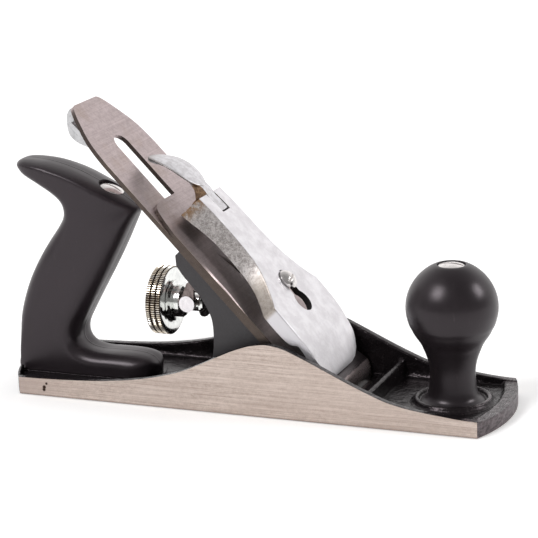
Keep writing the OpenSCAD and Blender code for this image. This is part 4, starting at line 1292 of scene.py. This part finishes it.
def stage():
    k = Nodes("pale_floor")
    v = k.scaled((1, 1, 1))
    f = k.noise(v, 0.004, 3)
    col = k.mix(f, (0.92, 0.92, 0.92), (0.94, 0.94, 0.94))
    m = k.done(col, 0.85, 0.0, None, Emission_Color=(1, 1, 1, 1), Emission_Strength=0.22)
    s = 9000.0
    verts = [(-s, -s, 0), (s, -s, 0), (s, s, 0), (-s, s, 0)]
    ob = make("floor", verts, [(0, 1, 2, 3)], [m], flat=True)
    ob.location.z = -0.0004

    w = bpy.data.worlds.new("studio")
    bpy.context.scene.world = w
    w.use_nodes = True
    t = w.node_tree
    co = t.nodes.new("ShaderNodeTexCoord")
    dot = t.nodes.new("ShaderNodeVectorMath")
    dot.operation = "DOT_PRODUCT"
    dot.inputs[1].default_value = (-0.35, 0.93, 0.10)
    t.links.new(co.outputs["Generated"], dot.inputs[0])
    up = t.nodes.new("ShaderNodeSeparateXYZ")
    t.links.new(co.outputs["Generated"], up.inputs[0])
    back = t.nodes.new("ShaderNodeMapRange")
    back.interpolation_type = "SMOOTHSTEP"
    for name, v in (("From Min", -0.25), ("From Max", 0.7), ("To Min", 0.0), ("To Max", 1.0)):
        back.inputs[name].default_value = v
    t.links.new(dot.outputs["Value"], back.inputs["Value"])
    top = t.nodes.new("ShaderNodeMapRange")
    top.interpolation_type = "SMOOTHSTEP"
    for name, v in (("From Min", 0.45), ("From Max", 0.95), ("To Min", 1.0), ("To Max", 0.3)):
        top.inputs[name].default_value = v
    t.links.new(up.outputs["Z"], top.inputs["Value"])
    mul = t.nodes.new("ShaderNodeMath")
    mul.operation = "MULTIPLY"
    t.links.new(back.outputs["Result"], mul.inputs[0])
    t.links.new(top.outputs["Result"], mul.inputs[1])
    mad = t.nodes.new("ShaderNodeMath")
    mad.operation = "MULTIPLY_ADD"
    t.links.new(mul.outputs[0], mad.inputs[0])
    mad.inputs[1].default_value = 0.85
    mad.inputs[2].default_value = 0.33
    bg = t.nodes["Background"]
    bg.inputs["Color"].default_value = (1, 0.985, 0.98, 1)
    t.links.new(mad.outputs[0], bg.inputs["Strength"])

    def area(name, toward, dist, size, radiance, color=(1, 1, 1)):
        """A square softbox of a given radiance, standing far off so that it lights evenly."""
        d = bpy.data.lights.new(name, "AREA")
        d.shape = "SQUARE"
        d.size = size
        d.energy = radiance * math.pi * size * size
        d.color = color
        o = bpy.data.objects.new(name, d)
        bpy.context.scene.collection.objects.link(o)
        v = Vector(toward).normalized()
        o.location = v * dist
        o.rotation_euler = (-v).to_track_quat("-Z", "Y").to_euler()
        return o

    area("key", (-0.378, -0.608, 0.698), 6.0, 2.3, 12.5)
    area("side", (0.810, 0.261, 0.524), 6.0, 2.0, 9)
    bpy.context.scene.view_settings.view_transform = "Standard"


def camera():
    az, el, roll = math.radians(22.281), math.radians(15.546), math.radians(-2.121)
    back = Vector((math.sin(az) * math.cos(el), -math.cos(az) * math.cos(el), math.sin(el)))
    right = Vector((math.cos(az), math.sin(az), 0))
    up = back.cross(right)
    r2 = right * math.cos(roll) + up * math.sin(roll)
    u2 = -right * math.sin(roll) + up * math.cos(roll)
    m = Matrix((r2, u2, back)).transposed().to_4x4()
    m.translation = Vector((0.357709, -0.862479, 0.318574))
    c = bpy.data.cameras.new("camera")
    c.sensor_width = 36
    c.sensor_fit = "HORIZONTAL"
    c.lens = 2151.66 * 36 / 538
    c.clip_start = 0.05
    c.clip_end = 60
    o = bpy.data.objects.new("camera", c)
    o.matrix_world = m
    bpy.context.scene.collection.objects.link(o)
    bpy.context.scene.camera = o


stage()
camera()
